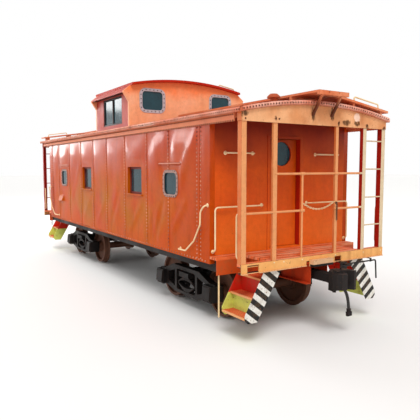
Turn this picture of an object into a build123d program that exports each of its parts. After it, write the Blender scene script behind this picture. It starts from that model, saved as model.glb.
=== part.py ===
from build123d import *
import math
import os

os.makedirs("parts", exist_ok=True)

# Steel cupola caboose, one car, standing on its wheel flanges at z = 0.
# X runs along the car with end a at +X, Y across it, Z up. Millimetres.
# End b is end a turned half a turn about Z, so the ladders are at opposite corners.

# Car body
body_length = 8714.0
body_width = 2900.0
side_thickness = 90.0
end_thickness = 130.0
deck_top = 1200.0
floor_thickness = 90.0
side_drop = 120.0
seam_proud = 5.0
seam_width = 34.0

# Roof
roof_side_reach = 50.0
roof_eave = 3305.0
roof_rise = 170.0
roof_thickness = 60.0
roof_overhang = 35.0
roof_seam_width = 46.0
roof_seam_height = 8.0

# Platforms
platform_depth = 800.0
plank_thickness = 40.0
plank_pitch = 130.0
plank_groove = 6.0
well_start = 185.0
well_length = 508.0
well_width = 530.0
sill_bottom = 1058.0
sill_plate = 16.0
sill_depth = 96.0
sill_flange = 12.0
sill_lip = 16.0
coupler_gap = 260.0
coupler_gap_top = 1130.0

# Eaves
board_drop = 169.0
board_height = 126.0
board_plate = 12.0
board_set_back = 167.0
fascia_drop = 175.0

# Posts, railings and ladders
corner_post_width = 83.0
corner_post_depth = 90.0
post_wall = 9.0
post_depth = 50.0
pipe_d = 34.0
upper_rail_height = 1225.0
lower_rail_height = 688.0
rod_d = 22.0

# Cupola
cupola_center = 277.0
cupola_length = 1890.0
cupola_wall = 60.0
cupola_set_in = 105.0
hood_spread = 115.0
hood_foot_drop = 364.0
hood_lip_drop = 190.0
hood_lip_height = 24.0
cupola_roof_inset = 35.0
cupola_height = 885.0
cupola_rise = 140.0
cupola_roof_thickness = 45.0
cupola_overhang = 90.0

# Doors
door_opening = 640.0
door_top = 2975.0
door_leaf = 40.0
door_gap = 6.0
door_window = 390.0
door_window_drop = 240.0
hinge_pin_d = 16.0
hinge_barrel_d = 34.0
pin_clearance = 0.05

# Running boards
walk_height = 295.0
walk_width = 600.0
walk_plank = 190.0
walk_thickness = 34.0
walk_overhang = 243.0
saddle_width = 45.0

# Underframe
center_sill_depth = 330.0
center_sill_gap = 330.0
center_sill_flange = 90.0
center_sill_web = 12.0
center_sill_flange_t = 16.0
side_sill_depth = 150.0
side_sill_width = 90.0
side_sill_web = 12.0

# Trucks
truck_center = 2900.0
wheelbase = 1676.0
tread_r = 419.0
flange_height = 25.0
back_to_back = 1360.0
rim_width = 140.0
journal_r = 63.5
journal_length = 229.0
journal_center = 971.0
frame_thickness = 120.0
center_plate_r = 155.0
center_plate_z = 670.0
plate_clearance = 4.0

# Couplers
coupler_z = 901.0
shank_height = 130.0
shank_width = 128.0
coupler_stand = 573.0

# Steps
tread_thickness = 24.0
stringer_plate = 8.0
step_set_back = 49.0

# Values worked out from those above
body_end = body_length / 2
half_width = body_width / 2
side_inner = half_width - side_thickness
roof_half_width = half_width + roof_side_reach
platform_end = body_end + platform_depth
floor_bottom = deck_top - floor_thickness
side_bottom = deck_top - side_drop
well_near = body_end + well_start
well_far = well_near + well_length
well_inner = half_width - well_width
step_far = platform_end - step_set_back
board_bottom = roof_eave - board_drop
board_top = board_bottom + board_height
board_reach = platform_end - board_set_back
fascia_bottom = roof_eave - fascia_drop
upper_rail_z = deck_top + upper_rail_height
lower_rail_z = deck_top + lower_rail_height
roof_end = platform_end + roof_overhang
roof_radius = (roof_half_width**2 + roof_rise**2) / (2 * roof_rise)
roof_center_z = roof_eave + roof_rise - roof_radius
cupola_eave = roof_eave + cupola_height
cupola_half = half_width - cupola_set_in
cupola_roof_half = cupola_half - cupola_roof_inset
hood_reach = cupola_half + hood_spread
hood_foot = cupola_eave - hood_foot_drop
hood_lip = cupola_eave - hood_lip_drop
cupola_near = cupola_center + cupola_length / 2
cupola_far = cupola_center - cupola_length / 2
axle_z = tread_r + flange_height
rail_x = platform_end - post_depth / 2
door_outer = body_end - end_thickness + door_leaf
hinge_x = body_end - end_thickness - hinge_barrel_d / 2
hinge_y = door_opening / 2 - door_gap
door_window_z = door_top - door_window_drop
walk_top = roof_eave + walk_height
walk_reach = platform_end + walk_overhang
coupler_reach = platform_end + coupler_stand


def roof_z(y, below=0.0):
    """Height of the roof's top, or of a line below it, at a distance from the middle."""
    return roof_center_z + math.sqrt((roof_radius - below) ** 2 - y**2)


def arch_prism(x_from, x_to, half_span, edge_z, rise, bottom_z):
    """A prism along the car under an arc across it, down to a flat bottom."""
    with BuildPart(mode=Mode.PRIVATE) as prism:
        with BuildSketch(Plane.YZ.offset(x_from)):
            with BuildLine():
                top = ThreePointArc((-half_span, edge_z), (0, edge_z + rise), (half_span, edge_z))
                Polyline(top @ 0, (-half_span, bottom_z), (half_span, bottom_z), top @ 1)
            make_face()
        extrude(amount=x_to - x_from)
    return prism.part


def bent_rod(points, bend, diameter):
    """A round rod along straight runs joined by bends."""
    with BuildPart(mode=Mode.PRIVATE) as rod:
        with BuildLine() as path:
            FilletPolyline(*points, radius=bend)
        with BuildSketch(Plane(origin=path.line @ 0, z_dir=path.line % 0)):
            Circle(diameter / 2)
        sweep()
    return rod.part


def straight_rod(start, end, diameter):
    """A round rod between two points."""
    run = Vector(*end) - Vector(*start)
    with BuildPart(mode=Mode.PRIVATE) as rod:
        with BuildSketch(Plane(origin=start, z_dir=run)):
            Circle(diameter / 2)
        extrude(amount=run.length)
    return rod.part


def block(x_from, x_to, y_from, y_to, z_from, z_to):
    """A rectangular block between two corners."""
    middle = ((x_from + x_to) / 2, (y_from + y_to) / 2)
    with BuildPart(mode=Mode.PRIVATE) as solid:
        with BuildSketch(Plane.XY.offset(z_from)):
            with Locations(middle):
                Rectangle(abs(x_to - x_from), abs(y_to - y_from))
        extrude(amount=z_to - z_from)
    return solid.part


def at_both_ends(piece):
    """The piece at end a and the same piece turned half a turn, for end b."""
    return [piece, piece.rotate(Axis.Z, 180)]


def at_four_corners(piece):
    """The piece at each corner of the car, mirrored across and along it."""
    pair = [piece, piece.mirror(Plane.XZ)]
    return pair + [copy.mirror(Plane.YZ) for copy in pair]


under_roof = arch_prism(-roof_end, roof_end, roof_half_width, roof_eave - roof_thickness, roof_rise, 0)
roof_mass = arch_prism(-roof_end, roof_end, roof_half_width, roof_eave, roof_rise, 0)

# Floor of the cabin, between the side walls
with BuildPart() as floor:
    with BuildSketch(Plane.XY.offset(floor_bottom)):
        Rectangle(body_length, 2 * side_inner)
    extrude(amount=floor_thickness)
floor.part.label = "floor"
export_step(floor.part, "parts/floor.step")

# Side walls: riveted steel sheets, cut for two gasket windows and two sash windows
# Columns: middle x, middle z, width, height, corner radius, kind
body_windows = [
    (3139.0, 2248.0, 431.0, 361.0, 85.0, "gasket"),
    (1672.0, 2268.0, 643.0, 517.0, 12.0, "sash"),
    (-1102.0, 2268.0, 643.0, 517.0, 12.0, "sash"),
    (-2910.0, 2248.0, 431.0, 361.0, 85.0, "gasket"),
]
gasket_lip = 15.0
gasket_flange = 32.0
gasket_proud = 12.0
sash_rail = 42.0
sash_thickness = 30.0
sash_recess = 52.0
glass_thickness = 6.0
ledge_height = 28.0
ledge_proud = 26.0
ledge_extra = 40.0
drip_width = 776.0
drip_z = 2567.0
drip_height = 14.0
drip_proud = 34.0
corner_seam_inset = 303.0
corner_seam = body_end - corner_seam_inset
inner_seams = [-3409.0, -2456.0, -1515.0, -641.0, 212.0, 1207.0, 2222.0, 3073.0]
panel_seams = [-corner_seam] + inner_seams + [corner_seam]
side_vent_x = -3222.0
side_vent_z = 1690.0
side_vent_width = 320.0
side_vent_height = 150.0
side_vent_proud = 60.0


def side_wall_at(side):
    """One side wall, with side -1 at -Y and +1 at +Y."""
    face = side * half_width
    with BuildPart() as wall:
        add(block(-body_end, body_end, side * side_inner, face, side_bottom, roof_eave))
        add(under_roof, mode=Mode.INTERSECT)
        for x in panel_seams:
            strip_from = x - seam_width / 2
            strip_to = x + seam_width / 2
            add(block(strip_from, strip_to, face, face + side * seam_proud, side_bottom, board_bottom))
        for x, z, width, height, corner, kind in body_windows:
            lip = gasket_lip if kind == "gasket" else 0.0
            if kind == "gasket":
                flange = 2 * (gasket_lip + gasket_flange)
                with BuildSketch(Plane.XZ.offset(-side * half_width)):
                    with Locations((x, z)):
                        RectangleRounded(width + flange, height + flange, corner + flange / 2)
                extrude(amount=-side * seam_proud, mode=Mode.SUBTRACT)
                drip_from = x - drip_width / 2
                drip_to = x + drip_width / 2
                add(block(drip_from, drip_to, face, face + side * drip_proud, drip_z, drip_z + drip_height))
            else:
                ledge_from = x - width / 2 - ledge_extra
                ledge_to = x + width / 2 + ledge_extra
                ledge_top = z - height / 2
                ledge_face = face + side * ledge_proud
                add(block(ledge_from, ledge_to, face, ledge_face, ledge_top - ledge_height, ledge_top))
            with BuildSketch(Plane.XZ.offset(-side * half_width)):
                with Locations((x, z)):
                    RectangleRounded(width + 2 * lip, height + 2 * lip, corner + lip)
            extrude(amount=2 * side_thickness, both=True, mode=Mode.SUBTRACT)
        if side < 0:
            vent_from = side_vent_x - side_vent_width / 2
            vent_to = side_vent_x + side_vent_width / 2
            vent_top = side_vent_z + side_vent_height / 2
            vent_bottom = side_vent_z - side_vent_height / 2
            with BuildSketch(Plane.YZ.offset(vent_from)):
                with BuildLine():
                    Polyline(
                        (face, vent_bottom),
                        (face, vent_top),
                        (face - side_vent_proud, vent_bottom),
                        close=True,
                    )
                make_face()
            extrude(amount=vent_to - vent_from)
    return wall.part


side_wall_right = side_wall_at(-1)
side_wall_right.label = "side_wall_right"
export_step(side_wall_right, "parts/side_wall_right.step")

side_wall_left = side_wall_at(1)
side_wall_left.label = "side_wall_left"
export_step(side_wall_left, "parts/side_wall_left.step")

# Frames of the side windows: rubber gaskets with a flange outside, and recessed metal sashes
with BuildPart() as window_frames:
    for side in (-1, 1):
        for x, z, width, height, corner, kind in body_windows:
            if kind == "gasket":
                with BuildSketch(Plane.XZ.offset(-side * half_width)):
                    with Locations((x, z)):
                        flange = 2 * (gasket_lip + gasket_flange)
                        RectangleRounded(width + flange, height + flange, corner + flange / 2)
                        RectangleRounded(width, height, corner, mode=Mode.SUBTRACT)
                extrude(amount=-side * gasket_proud)
                with BuildSketch(Plane.XZ.offset(-side * half_width)):
                    with Locations((x, z)):
                        lip = 2 * gasket_lip
                        RectangleRounded(width + lip, height + lip, corner + gasket_lip)
                        RectangleRounded(width, height, corner, mode=Mode.SUBTRACT)
                extrude(amount=side * gasket_flange)
            else:
                with BuildSketch(Plane.XZ.offset(-side * (half_width - sash_recess))):
                    with Locations((x, z)):
                        RectangleRounded(width, height, corner)
                        Rectangle(width - 2 * sash_rail, height - 2 * sash_rail, mode=Mode.SUBTRACT)
                extrude(amount=side * sash_thickness)
window_frames.part.label = "window_frames"
export_step(window_frames.part, "parts/window_frames.step")

# Walls at the ends of the cabin, each with a door way and a door frame flush outside
jamb_width = 45.0
jamb_proud = 10.0
threshold = 24.0


def end_wall_at(turn):
    """One end wall, built at end a and turned for end b."""
    with BuildPart() as wall:
        inner = body_end - end_thickness
        add(block(inner, body_end, -side_inner, side_inner, deck_top, roof_eave + roof_rise))
        add(under_roof, mode=Mode.INTERSECT)
        outer = door_opening / 2 + jamb_width
        add(block(body_end, body_end + jamb_proud, -outer, outer, deck_top, door_top + jamb_width))
        with BuildSketch(Plane.YZ.offset(body_end - 2 * end_thickness)):
            with BuildLine():
                way = door_opening / 2
                bottom = deck_top + threshold
                Polyline((-way, bottom), (way, bottom), (way, door_top), (-way, door_top), close=True)
            make_face()
        extrude(amount=3 * end_thickness, mode=Mode.SUBTRACT)
    return wall.part.rotate(Axis.Z, turn)


# Columns: end name, turn about Z
car_ends = [("a", 0.0), ("b", 180.0)]

for end, turn in car_ends:
    end_wall = end_wall_at(turn)
    end_wall.label = f"end_wall_{end}"
    export_step(end_wall, f"parts/end_wall_{end}.step")

# Doors, flush with the inside of the wall, hinged there to swing into the cabin
hinge_foot = 220.0
hinge_middle = 860.0
hinge_head = 185.0
hinge_heights = [deck_top + hinge_foot, deck_top + hinge_middle, door_top - hinge_head]
hinge_length = 110.0
hinge_leaf = 80.0
handle_height = 840.0
handle_z = deck_top + handle_height
handle_inset = 55.0
handle_spindle_d = 24.0
handle_stand = 48.0
handle_bar_stand = 36.0
handle_bar_depth = 14.0
handle_bar_height = 18.0
handle_bar_inset = 40.0
handle_bar_length = 120.0
door_ring = 26.0
door_ring_proud = 8.0


def door_at(turn):
    """The door leaf with its window ring, hinge barrels and lever handle."""
    leaf_bottom = deck_top + threshold + door_gap
    leaf_top = door_top - door_gap
    inner = body_end - end_thickness
    with BuildPart() as leaf:
        add(block(inner, door_outer, -hinge_y, hinge_y, leaf_bottom, leaf_top))
        with BuildSketch(Plane.YZ.offset(door_outer)):
            with Locations((0, door_window_z)):
                Circle(door_window / 2 + door_ring)
        extrude(amount=door_ring_proud)
        for z in hinge_heights:
            with BuildSketch(Plane.XY.offset(z - hinge_length / 2)):
                with Locations((hinge_x, hinge_y)):
                    Circle(hinge_barrel_d / 2)
                with Locations((inner - hinge_barrel_d / 4, hinge_y - hinge_leaf / 2)):
                    Rectangle(hinge_barrel_d / 2, hinge_leaf)
            extrude(amount=hinge_length)
            with BuildSketch(Plane.XY.offset(z - hinge_length)):
                with Locations((hinge_x, hinge_y)):
                    Circle(hinge_pin_d / 2 + pin_clearance)
            extrude(amount=2 * hinge_length, mode=Mode.SUBTRACT)
        with BuildSketch(Plane.YZ.offset(inner - door_leaf)):
            with Locations((0, door_window_z)):
                Circle(door_window / 2)
        extrude(amount=3 * door_leaf, mode=Mode.SUBTRACT)
        with BuildSketch(Plane.YZ.offset(door_outer)):
            with Locations((-hinge_y + handle_inset, handle_z)):
                Circle(handle_spindle_d / 2)
        extrude(amount=handle_stand)
        bar_from = handle_bar_inset - hinge_y
        bar_to = bar_from + handle_bar_length
        bar_in = door_outer + handle_bar_stand
        bar_low = handle_z - handle_bar_height / 2
        bar_high = handle_z + handle_bar_height / 2
        add(block(bar_in, bar_in + handle_bar_depth, bar_from, bar_to, bar_low, bar_high))
    return leaf.part.rotate(Axis.Z, turn)


for end, turn in car_ends:
    door = door_at(turn)
    door.label = f"door_{end}"
    export_step(door, f"parts/door_{end}.step")
    with BuildPart() as door_glass:
        with BuildSketch(Plane.YZ.offset(door_outer - door_leaf / 2 - glass_thickness / 2)):
            with Locations((0, door_window_z)):
                Circle(door_window / 2)
        extrude(amount=glass_thickness)
    glass = door_glass.part.rotate(Axis.Z, turn)
    glass.label = f"door_glass_{end}"
    export_step(glass, f"parts/door_glass_{end}.step")

# Hinge pins, each on a plate fixed to the inside of the end wall
pin_plate_width = 70.0
pin_plate_thickness = 8.0
pin_plate_margin = 34.0
pin_arm = 16.0
pin_arm_gap = 9.0
with BuildPart() as door_hinges:
    for z in hinge_heights:
        inner = body_end - end_thickness
        plate_near = hinge_y + hinge_barrel_d / 2 + door_gap
        plate_far = plate_near + pin_plate_width
        low = z - hinge_length / 2 - pin_plate_margin
        high = z + hinge_length / 2 + pin_plate_margin
        pieces = [
            straight_rod((hinge_x, hinge_y, low), (hinge_x, hinge_y, high), hinge_pin_d),
            block(inner - pin_plate_thickness, inner, plate_near, plate_far, low, high),
        ]
        for arm_low in (low, high - pin_arm):
            arm_top = arm_low + pin_arm
            arm_back = inner - hinge_barrel_d
            arm_side = hinge_y - hinge_pin_d / 2
            pieces.append(block(arm_back, inner, plate_near, plate_near + pin_arm, arm_low, arm_top))
            pieces.append(block(arm_back, inner - pin_arm_gap, arm_side, plate_near, arm_low, arm_top))
        for piece in pieces:
            for copy in at_both_ends(piece):
                add(copy)
door_hinges.part.label = "door_hinges"
export_step(door_hinges.part, "parts/door_hinges.step")

# Arched roof over the cabin and both platforms, with standing seams across it
seam_pitch = 960.0
seam_count = 5


def roof_arc(edge_z):
    """An arc across the roof, from one edge over the crown to the other."""
    return ThreePointArc((-roof_half_width, edge_z), (0, edge_z + roof_rise), (roof_half_width, edge_z))


with BuildPart() as roof:
    with BuildSketch(Plane.YZ.offset(-roof_end)):
        with BuildLine():
            top = roof_arc(roof_eave)
            under = roof_arc(roof_eave - roof_thickness)
            Line(top @ 0, under @ 0)
            Line(top @ 1, under @ 1)
        make_face()
    extrude(amount=2 * roof_end)
    for index in range(-seam_count, seam_count + 1):
        x = index * seam_pitch + seam_pitch / 2 * (1 if index < 0 else -1)
        clear = roof_seam_width
        if index != 0 and not cupola_far - clear < x < cupola_near + clear:
            with BuildSketch(Plane.YZ.offset(x - roof_seam_width / 2)):
                with BuildLine():
                    top = roof_arc(roof_eave + roof_seam_height)
                    under = roof_arc(roof_eave - roof_thickness / 2)
                    Line(top @ 0, under @ 0)
                    Line(top @ 1, under @ 1)
                make_face()
            extrude(amount=roof_seam_width)
    with BuildSketch(Plane.XY):
        with Locations((cupola_center, 0)):
            Rectangle(cupola_length - 2 * cupola_wall, 2 * (cupola_half - cupola_wall))
    extrude(amount=2 * roof_eave, mode=Mode.SUBTRACT)
roof.part.label = "roof"
export_step(roof.part, "parts/roof.step")

# Boards under the eaves: plates along the sides, and an arched plate across each end
eave_rail_depth = 48.0
eave_rail_lift = 50.0
with BuildPart() as eave_boards:
    for side in (-1, 1):
        face = side * half_width
        add(block(-board_reach, board_reach, face, face + side * board_plate, board_bottom, board_top))
        for end in (-1, 1):
            rail_in = face - side * eave_rail_depth
            rail_low = board_bottom + eave_rail_lift
            add(block(end * body_end, end * board_reach, rail_in, face, rail_low, roof_eave))
    add(under_roof, mode=Mode.INTERSECT)
    with BuildSketch(Plane.YZ.offset(platform_end - board_plate)):
        with BuildLine():
            edge = roof_z(half_width, roof_thickness)
            crown = roof_eave + roof_rise - roof_thickness
            top = ThreePointArc((-half_width, edge), (0, crown), (half_width, edge))
            Polyline(top @ 0, (-half_width, fascia_bottom), (half_width, fascia_bottom), top @ 1)
        make_face()
    fascia = extrude(amount=board_plate, mode=Mode.PRIVATE)
    for copy in at_both_ends(fascia):
        add(copy)
eave_boards.part.label = "eave_boards"
export_step(eave_boards.part, "parts/eave_boards.step")

# Corner posts: pressed channels from the deck to the end board, with a gusset at the eave
gusset_length = 90.0
gusset_plate = 8.0
post_face = platform_end - board_plate
post_back = post_face - corner_post_depth
post_in = half_width - corner_post_width
post_lap = 20.0
post_top = board_bottom + post_lap
channel_in = post_in + post_wall
channel_out = half_width - post_wall
gusset_back = post_face - gusset_length
gusset_out = half_width + gusset_plate
corner_post = (
    block(post_back, post_face, post_in, half_width, deck_top, post_top)
    - block(post_back, post_face - post_wall, channel_in, channel_out, deck_top, post_top)
    + block(gusset_back, post_face, half_width, gusset_out, board_bottom, board_top)
)
with BuildPart() as corner_posts:
    for copy in at_four_corners(corner_post):
        add(copy)
    add(under_roof, mode=Mode.INTERSECT)
corner_posts.part.label = "corner_posts"
export_step(corner_posts.part, "parts/corner_posts.step")

# End railings: two tall posts, one short post, pipe rails and their fittings
wide_post_y = -868.0
tall_post_y = 345.0
tall_post_width = 56.0
short_post_y = -345.0
# Columns: middle y, width
rail_posts = [(wide_post_y, 74.0), (tall_post_y, tall_post_width)]
ladder_stile_y = 962.0
ladder_stile_width = 76.0
fitting_d = 50.0
fitting_length = 78.0
rail_reach = ladder_stile_y - ladder_stile_width / 2
# Columns: y from, y to, z
pipe_rails = [
    (wide_post_y, rail_reach, upper_rail_z),
    (-half_width + corner_post_width, short_post_y, lower_rail_z),
    (tall_post_y, rail_reach, lower_rail_z),
]
# Columns: y, z of each pipe fitting
pipe_fittings = [
    (short_post_y, upper_rail_z),
    (tall_post_y, upper_rail_z),
    (short_post_y, lower_rail_z),
    (tall_post_y, lower_rail_z),
]
with BuildPart() as railing:
    for y, width in rail_posts:
        post_from = y - width / 2
        post_to = y + width / 2
        add(block(platform_end - post_depth, post_face, post_from, post_to, deck_top, fascia_bottom))
    add(straight_rod((rail_x, short_post_y, deck_top), (rail_x, short_post_y, upper_rail_z), pipe_d))
    for y_from, y_to, z in pipe_rails:
        add(straight_rod((rail_x, y_from, z), (rail_x, y_to, z), pipe_d))
    for y, z in pipe_fittings:
        reach = fitting_length / 2
        add(straight_rod((rail_x, y - reach, z), (rail_x, y + reach, z), fitting_d))
with BuildPart() as end_railings:
    for copy in at_both_ends(railing.part):
        add(copy)
end_railings.part.label = "end_railings"
export_step(end_railings.part, "parts/end_railings.step")

# Ladders to the roof: an angle stile and rungs to the corner post
ladder_rungs = [1592.0, 2040.0, 2489.0, 2935.0]
stile_depth = 66.0
stile_plate = 9.0
with BuildPart() as ladder:
    stile_in = ladder_stile_y - ladder_stile_width / 2
    stile_out = ladder_stile_y + ladder_stile_width / 2
    stile_web = stile_in + stile_plate
    add(block(post_face - stile_plate, post_face, stile_in, stile_out, deck_top, fascia_bottom))
    add(block(post_face - stile_depth, post_face, stile_in, stile_web, deck_top, fascia_bottom))
    for z in ladder_rungs:
        rung_x = post_face - rod_d / 2
        add(straight_rod((rung_x, stile_web, z), (rung_x, post_in, z), rod_d))
with BuildPart() as ladders:
    for copy in at_both_ends(ladder.part):
        add(copy)
ladders.part.label = "ladders"
export_step(ladders.part, "parts/ladders.step")

# Chains that close the gangway between the short post and the tall one
chain_d = 16.0
chain_sag = 105.0
chain_z = 2000.0
chain_reach = tall_post_y - tall_post_width / 2
with BuildPart() as chain:
    with BuildLine(Plane.YZ.offset(rail_x)) as chain_path:
        ThreePointArc(
            (short_post_y + pipe_d / 4, chain_z),
            (0, chain_z - chain_sag),
            (chain_reach, chain_z),
        )
    with BuildSketch(Plane(origin=chain_path.line @ 0, z_dir=chain_path.line % 0)):
        RegularPolygon(chain_d / 2, 6)
    sweep()
with BuildPart() as gangway_chains:
    for copy in at_both_ends(chain.part - railing.part):
        add(copy)
gangway_chains.part.label = "gangway_chains"
export_step(gangway_chains.part, "parts/gangway_chains.step")

# Platform decks: grooved planks, cut back at both corners for the step wells
with BuildPart() as deck:
    deck_low = deck_top - plank_thickness
    add(block(body_end, platform_end - sill_plate, -half_width, half_width, deck_low, deck_top))
    plank_count = int((platform_depth - sill_plate) // plank_pitch)
    for index in range(1, plank_count + 1):
        x = body_end + index * plank_pitch
        groove_from = x - plank_groove / 2
        groove_to = x + plank_groove / 2
        groove_low = deck_top - plank_groove
        groove = block(groove_from, groove_to, -half_width, half_width, groove_low, deck_top)
        add(groove, mode=Mode.SUBTRACT)
    for side in (-1, 1):
        well = block(well_near, well_far, side * well_inner, side * half_width, deck_low, deck_top)
        add(well, mode=Mode.SUBTRACT)
with BuildPart() as platform_decks:
    for copy in at_both_ends(deck.part):
        add(copy)
platform_decks.part.label = "platform_decks"
export_step(platform_decks.part, "parts/platform_decks.step")

# End sills: channels across the platform ends, open in the middle for the coupler
striker_stand = 93.0
striker_reach = platform_end + striker_stand
striker_plate = 30.0
striker_half = 205.0
striker_low = 1050.0
striker_high = 1150.0
# Columns: y from, y to, top z of each notch in the sill's face
sill_notches = [(-1350.0, -1150.0, 1178.0), (330.0, 470.0, 1148.0)]
sill_in = platform_end - sill_depth
sill_face = platform_end
plate_in = sill_face - sill_plate
lip_out = sill_face + sill_lip
pocket_reach = striker_reach - striker_plate
pocket_half = striker_half - striker_plate
deck_under = deck_top - plank_thickness
sill_parts = (
    block(plate_in, sill_face, -half_width, half_width, sill_bottom, deck_top)
    + block(sill_in, sill_face, -half_width, half_width, deck_under - sill_flange, deck_under)
    + block(sill_in, lip_out, -half_width, half_width, sill_bottom, sill_bottom + sill_flange)
    - block(sill_in, lip_out, -coupler_gap, coupler_gap, sill_bottom, coupler_gap_top)
    + block(sill_face, striker_reach, -striker_half, striker_half, striker_low, striker_high)
    - block(sill_face, pocket_reach, -pocket_half, pocket_half, striker_low, coupler_gap_top)
)
for y_from, y_to, top_z in sill_notches:
    sill_parts = sill_parts - block(plate_in, lip_out, y_from, y_to, sill_bottom, top_z)
with BuildPart() as end_sills:
    for copy in at_both_ends(sill_parts):
        add(copy)
end_sills.part.label = "end_sills"
export_step(end_sills.part, "parts/end_sills.step")

# Steps: two slanted stringers, three treads and their risers at each corner
# Columns: tread top z, distance of its outer edge and of its inner edge in from the side
tread_sites = [(420.0, 100.0, 310.0), (680.0, 248.0, 460.0), (940.0, 395.0, 600.0)]
treads = [(z, half_width - outer, half_width - inner) for z, outer, inner in tread_sites]
# Columns: distance in from the side, z of each corner; the top is set by what it hangs from
stringer_corners = [(100.0, 465.0), (100.0, 396.0), (150.0, 342.0), (315.0, 342.0)]
stringer_outline = [(half_width - inset, z) for inset, z in stringer_corners]
stringer_top_inset = 437.0
stringer_top_outer = half_width - stringer_top_inset
stringer_top_width = 313.0
stringer_top_inner = stringer_top_outer - stringer_top_width
riser_plate = 6.0
well_plate_low = 940.0


def stringer(x_from, top_z):
    """One slanted side plate of the steps."""
    lean = (stringer_outline[0][0] - stringer_top_outer) / (sill_bottom - stringer_outline[0][1])
    shift = (top_z - sill_bottom) * lean
    tops = [(stringer_top_inner - shift, top_z), (stringer_top_outer - shift, top_z)]
    with BuildPart(mode=Mode.PRIVATE) as plate:
        with BuildSketch(Plane.YZ.offset(x_from)):
            with BuildLine():
                Polyline(*stringer_outline, *tops, close=True)
            make_face()
        extrude(amount=stringer_plate)
    return plate.part


with BuildPart() as step_set:
    add(stringer(well_near - stringer_plate, deck_under))
    add(stringer(step_far - stringer_plate, sill_bottom))
    tread_near = well_near
    tread_far = step_far - stringer_plate
    for z, y_outer, y_inner in treads:
        add(block(tread_near, tread_far, y_inner, y_outer, z - tread_thickness, z))
    for (z, _, y_inner), (z_next, _, _) in zip(treads, treads[1:]):
        add(block(tread_near, tread_far, y_inner, y_inner + riser_plate, z, z_next - tread_thickness))
    top_tread = treads[-1][0]
    top_riser = treads[-1][2]
    add(block(tread_near, sill_in, top_riser, top_riser + riser_plate, top_tread, deck_under))
    add(block(tread_near - stringer_plate, tread_near, top_riser, half_width, well_plate_low, deck_under))
with BuildPart() as steps:
    for copy in at_four_corners(step_set.part):
        add(copy)
steps.part.label = "steps"
export_step(steps.part, "parts/steps.step")

# Centre sill: two channels back to back, with a gap for the draft gear
center_sill_bottom = floor_bottom - center_sill_depth
center_sill_end = platform_end
with BuildPart() as center_sill:
    for side in (-1, 1):
        web = side * center_sill_gap / 2
        web_out = web + side * center_sill_web
        edge = web + side * center_sill_flange
        reach = center_sill_end
        low = center_sill_bottom
        add(block(-reach, reach, web, web_out, low, floor_bottom))
        add(block(-reach, reach, web, edge, low, low + center_sill_flange_t))
        add(block(-reach, reach, web, edge, floor_bottom - center_sill_flange_t, floor_bottom))
center_sill.part.label = "center_sill"
export_step(center_sill.part, "parts/center_sill.step")
center_sill_edge = center_sill_gap / 2 + center_sill_flange

# Side sills: channels under the edges of the floor
side_sill_bottom = floor_bottom - side_sill_depth
with BuildPart() as side_sills:
    for side in (-1, 1):
        face = side * side_inner
        reach = well_near - stringer_plate
        back = face - side * side_sill_width
        add(block(-reach, reach, face, face - side * side_sill_web, side_sill_bottom, floor_bottom))
        for z in (side_sill_bottom, floor_bottom - side_sill_web):
            add(block(-reach, reach, face, back, z, z + side_sill_web))
side_sills.part.label = "side_sills"
export_step(side_sills.part, "parts/side_sills.step")

# Crossbearers: tapered plates with a bottom flange, from the centre sill to the side sills
crossbearer_x = [-1500.0, -500.0, 500.0, 1500.0]
crossbearer_plate = 12.0
crossbearer_flange = 120.0
crossbearer_root = 830.0
with BuildPart() as crossbearers:
    for x in crossbearer_x:
        for width, rise in ((crossbearer_flange, crossbearer_plate), (crossbearer_plate, 0.0)):
            with BuildSketch(Plane.YZ.offset(x - width / 2)):
                with BuildLine():
                    outer = side_inner - side_sill_width
                    tip = side_sill_bottom + side_sill_web
                    if rise:
                        corners = [
                            (center_sill_edge, crossbearer_root),
                            (outer, tip),
                            (outer, tip + rise),
                            (center_sill_edge, crossbearer_root + rise),
                        ]
                    else:
                        corners = [
                            (center_sill_edge, crossbearer_root),
                            (outer, tip),
                            (outer, floor_bottom),
                            (center_sill_edge, floor_bottom),
                        ]
                    Polyline(*corners, close=True)
                make_face()
                mirror(about=Plane.YZ)
            extrude(amount=width)
crossbearers.part.label = "crossbearers"
export_step(crossbearers.part, "parts/crossbearers.step")

# Body bolsters: boxes over the trucks, with the upper centre plate and side bearings
bolster_half_x = 150.0
bolster_plate = 30.0
bolster_plate_y = 700.0
bearing_y = 635.0
bearing_size = 110.0
bearing_gap = 8.0
truck_bearing_top = 684.0
bolster_low = center_sill_bottom - bolster_plate
with BuildPart() as body_bolster:
    with BuildSketch(Plane.YZ.offset(truck_center - bolster_half_x)):
        with BuildLine():
            outer = side_inner - side_sill_width
            Polyline(
                (center_sill_edge, center_sill_bottom),
                (bolster_plate_y, center_sill_bottom),
                (outer, side_sill_bottom),
                (outer, floor_bottom),
                (center_sill_edge, floor_bottom),
                close=True,
            )
        make_face()
        mirror(about=Plane.YZ)
        with Locations((0, bolster_low + bolster_plate / 2)):
            Rectangle(2 * bolster_plate_y, bolster_plate)
    extrude(amount=2 * bolster_half_x)
    with BuildSketch(Plane.XY.offset(center_plate_z)):
        with Locations((truck_center, 0)):
            Circle(center_plate_r)
    extrude(amount=bolster_low - center_plate_z)
    with BuildSketch(Plane.XY.offset(truck_bearing_top + bearing_gap)):
        with Locations((truck_center, bearing_y), (truck_center, -bearing_y)):
            Rectangle(bearing_size, bearing_size)
    extrude(amount=bolster_low - truck_bearing_top - bearing_gap)
with BuildPart() as body_bolsters:
    for copy in at_both_ends(body_bolster.part):
        add(copy)
body_bolsters.part.label = "body_bolsters"
export_step(body_bolsters.part, "parts/body_bolsters.step")

# Cupola end walls: the outline spreads to the tips of the hoods, with two windows each
cupola_window_y = 827.0
cupola_window_drop = 320.0
cupola_window_z = cupola_eave - cupola_window_drop
cupola_window_width = 458.0
cupola_window_height = 370.0
cupola_window_corner = 75.0
cupola_lip = 16.0


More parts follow.
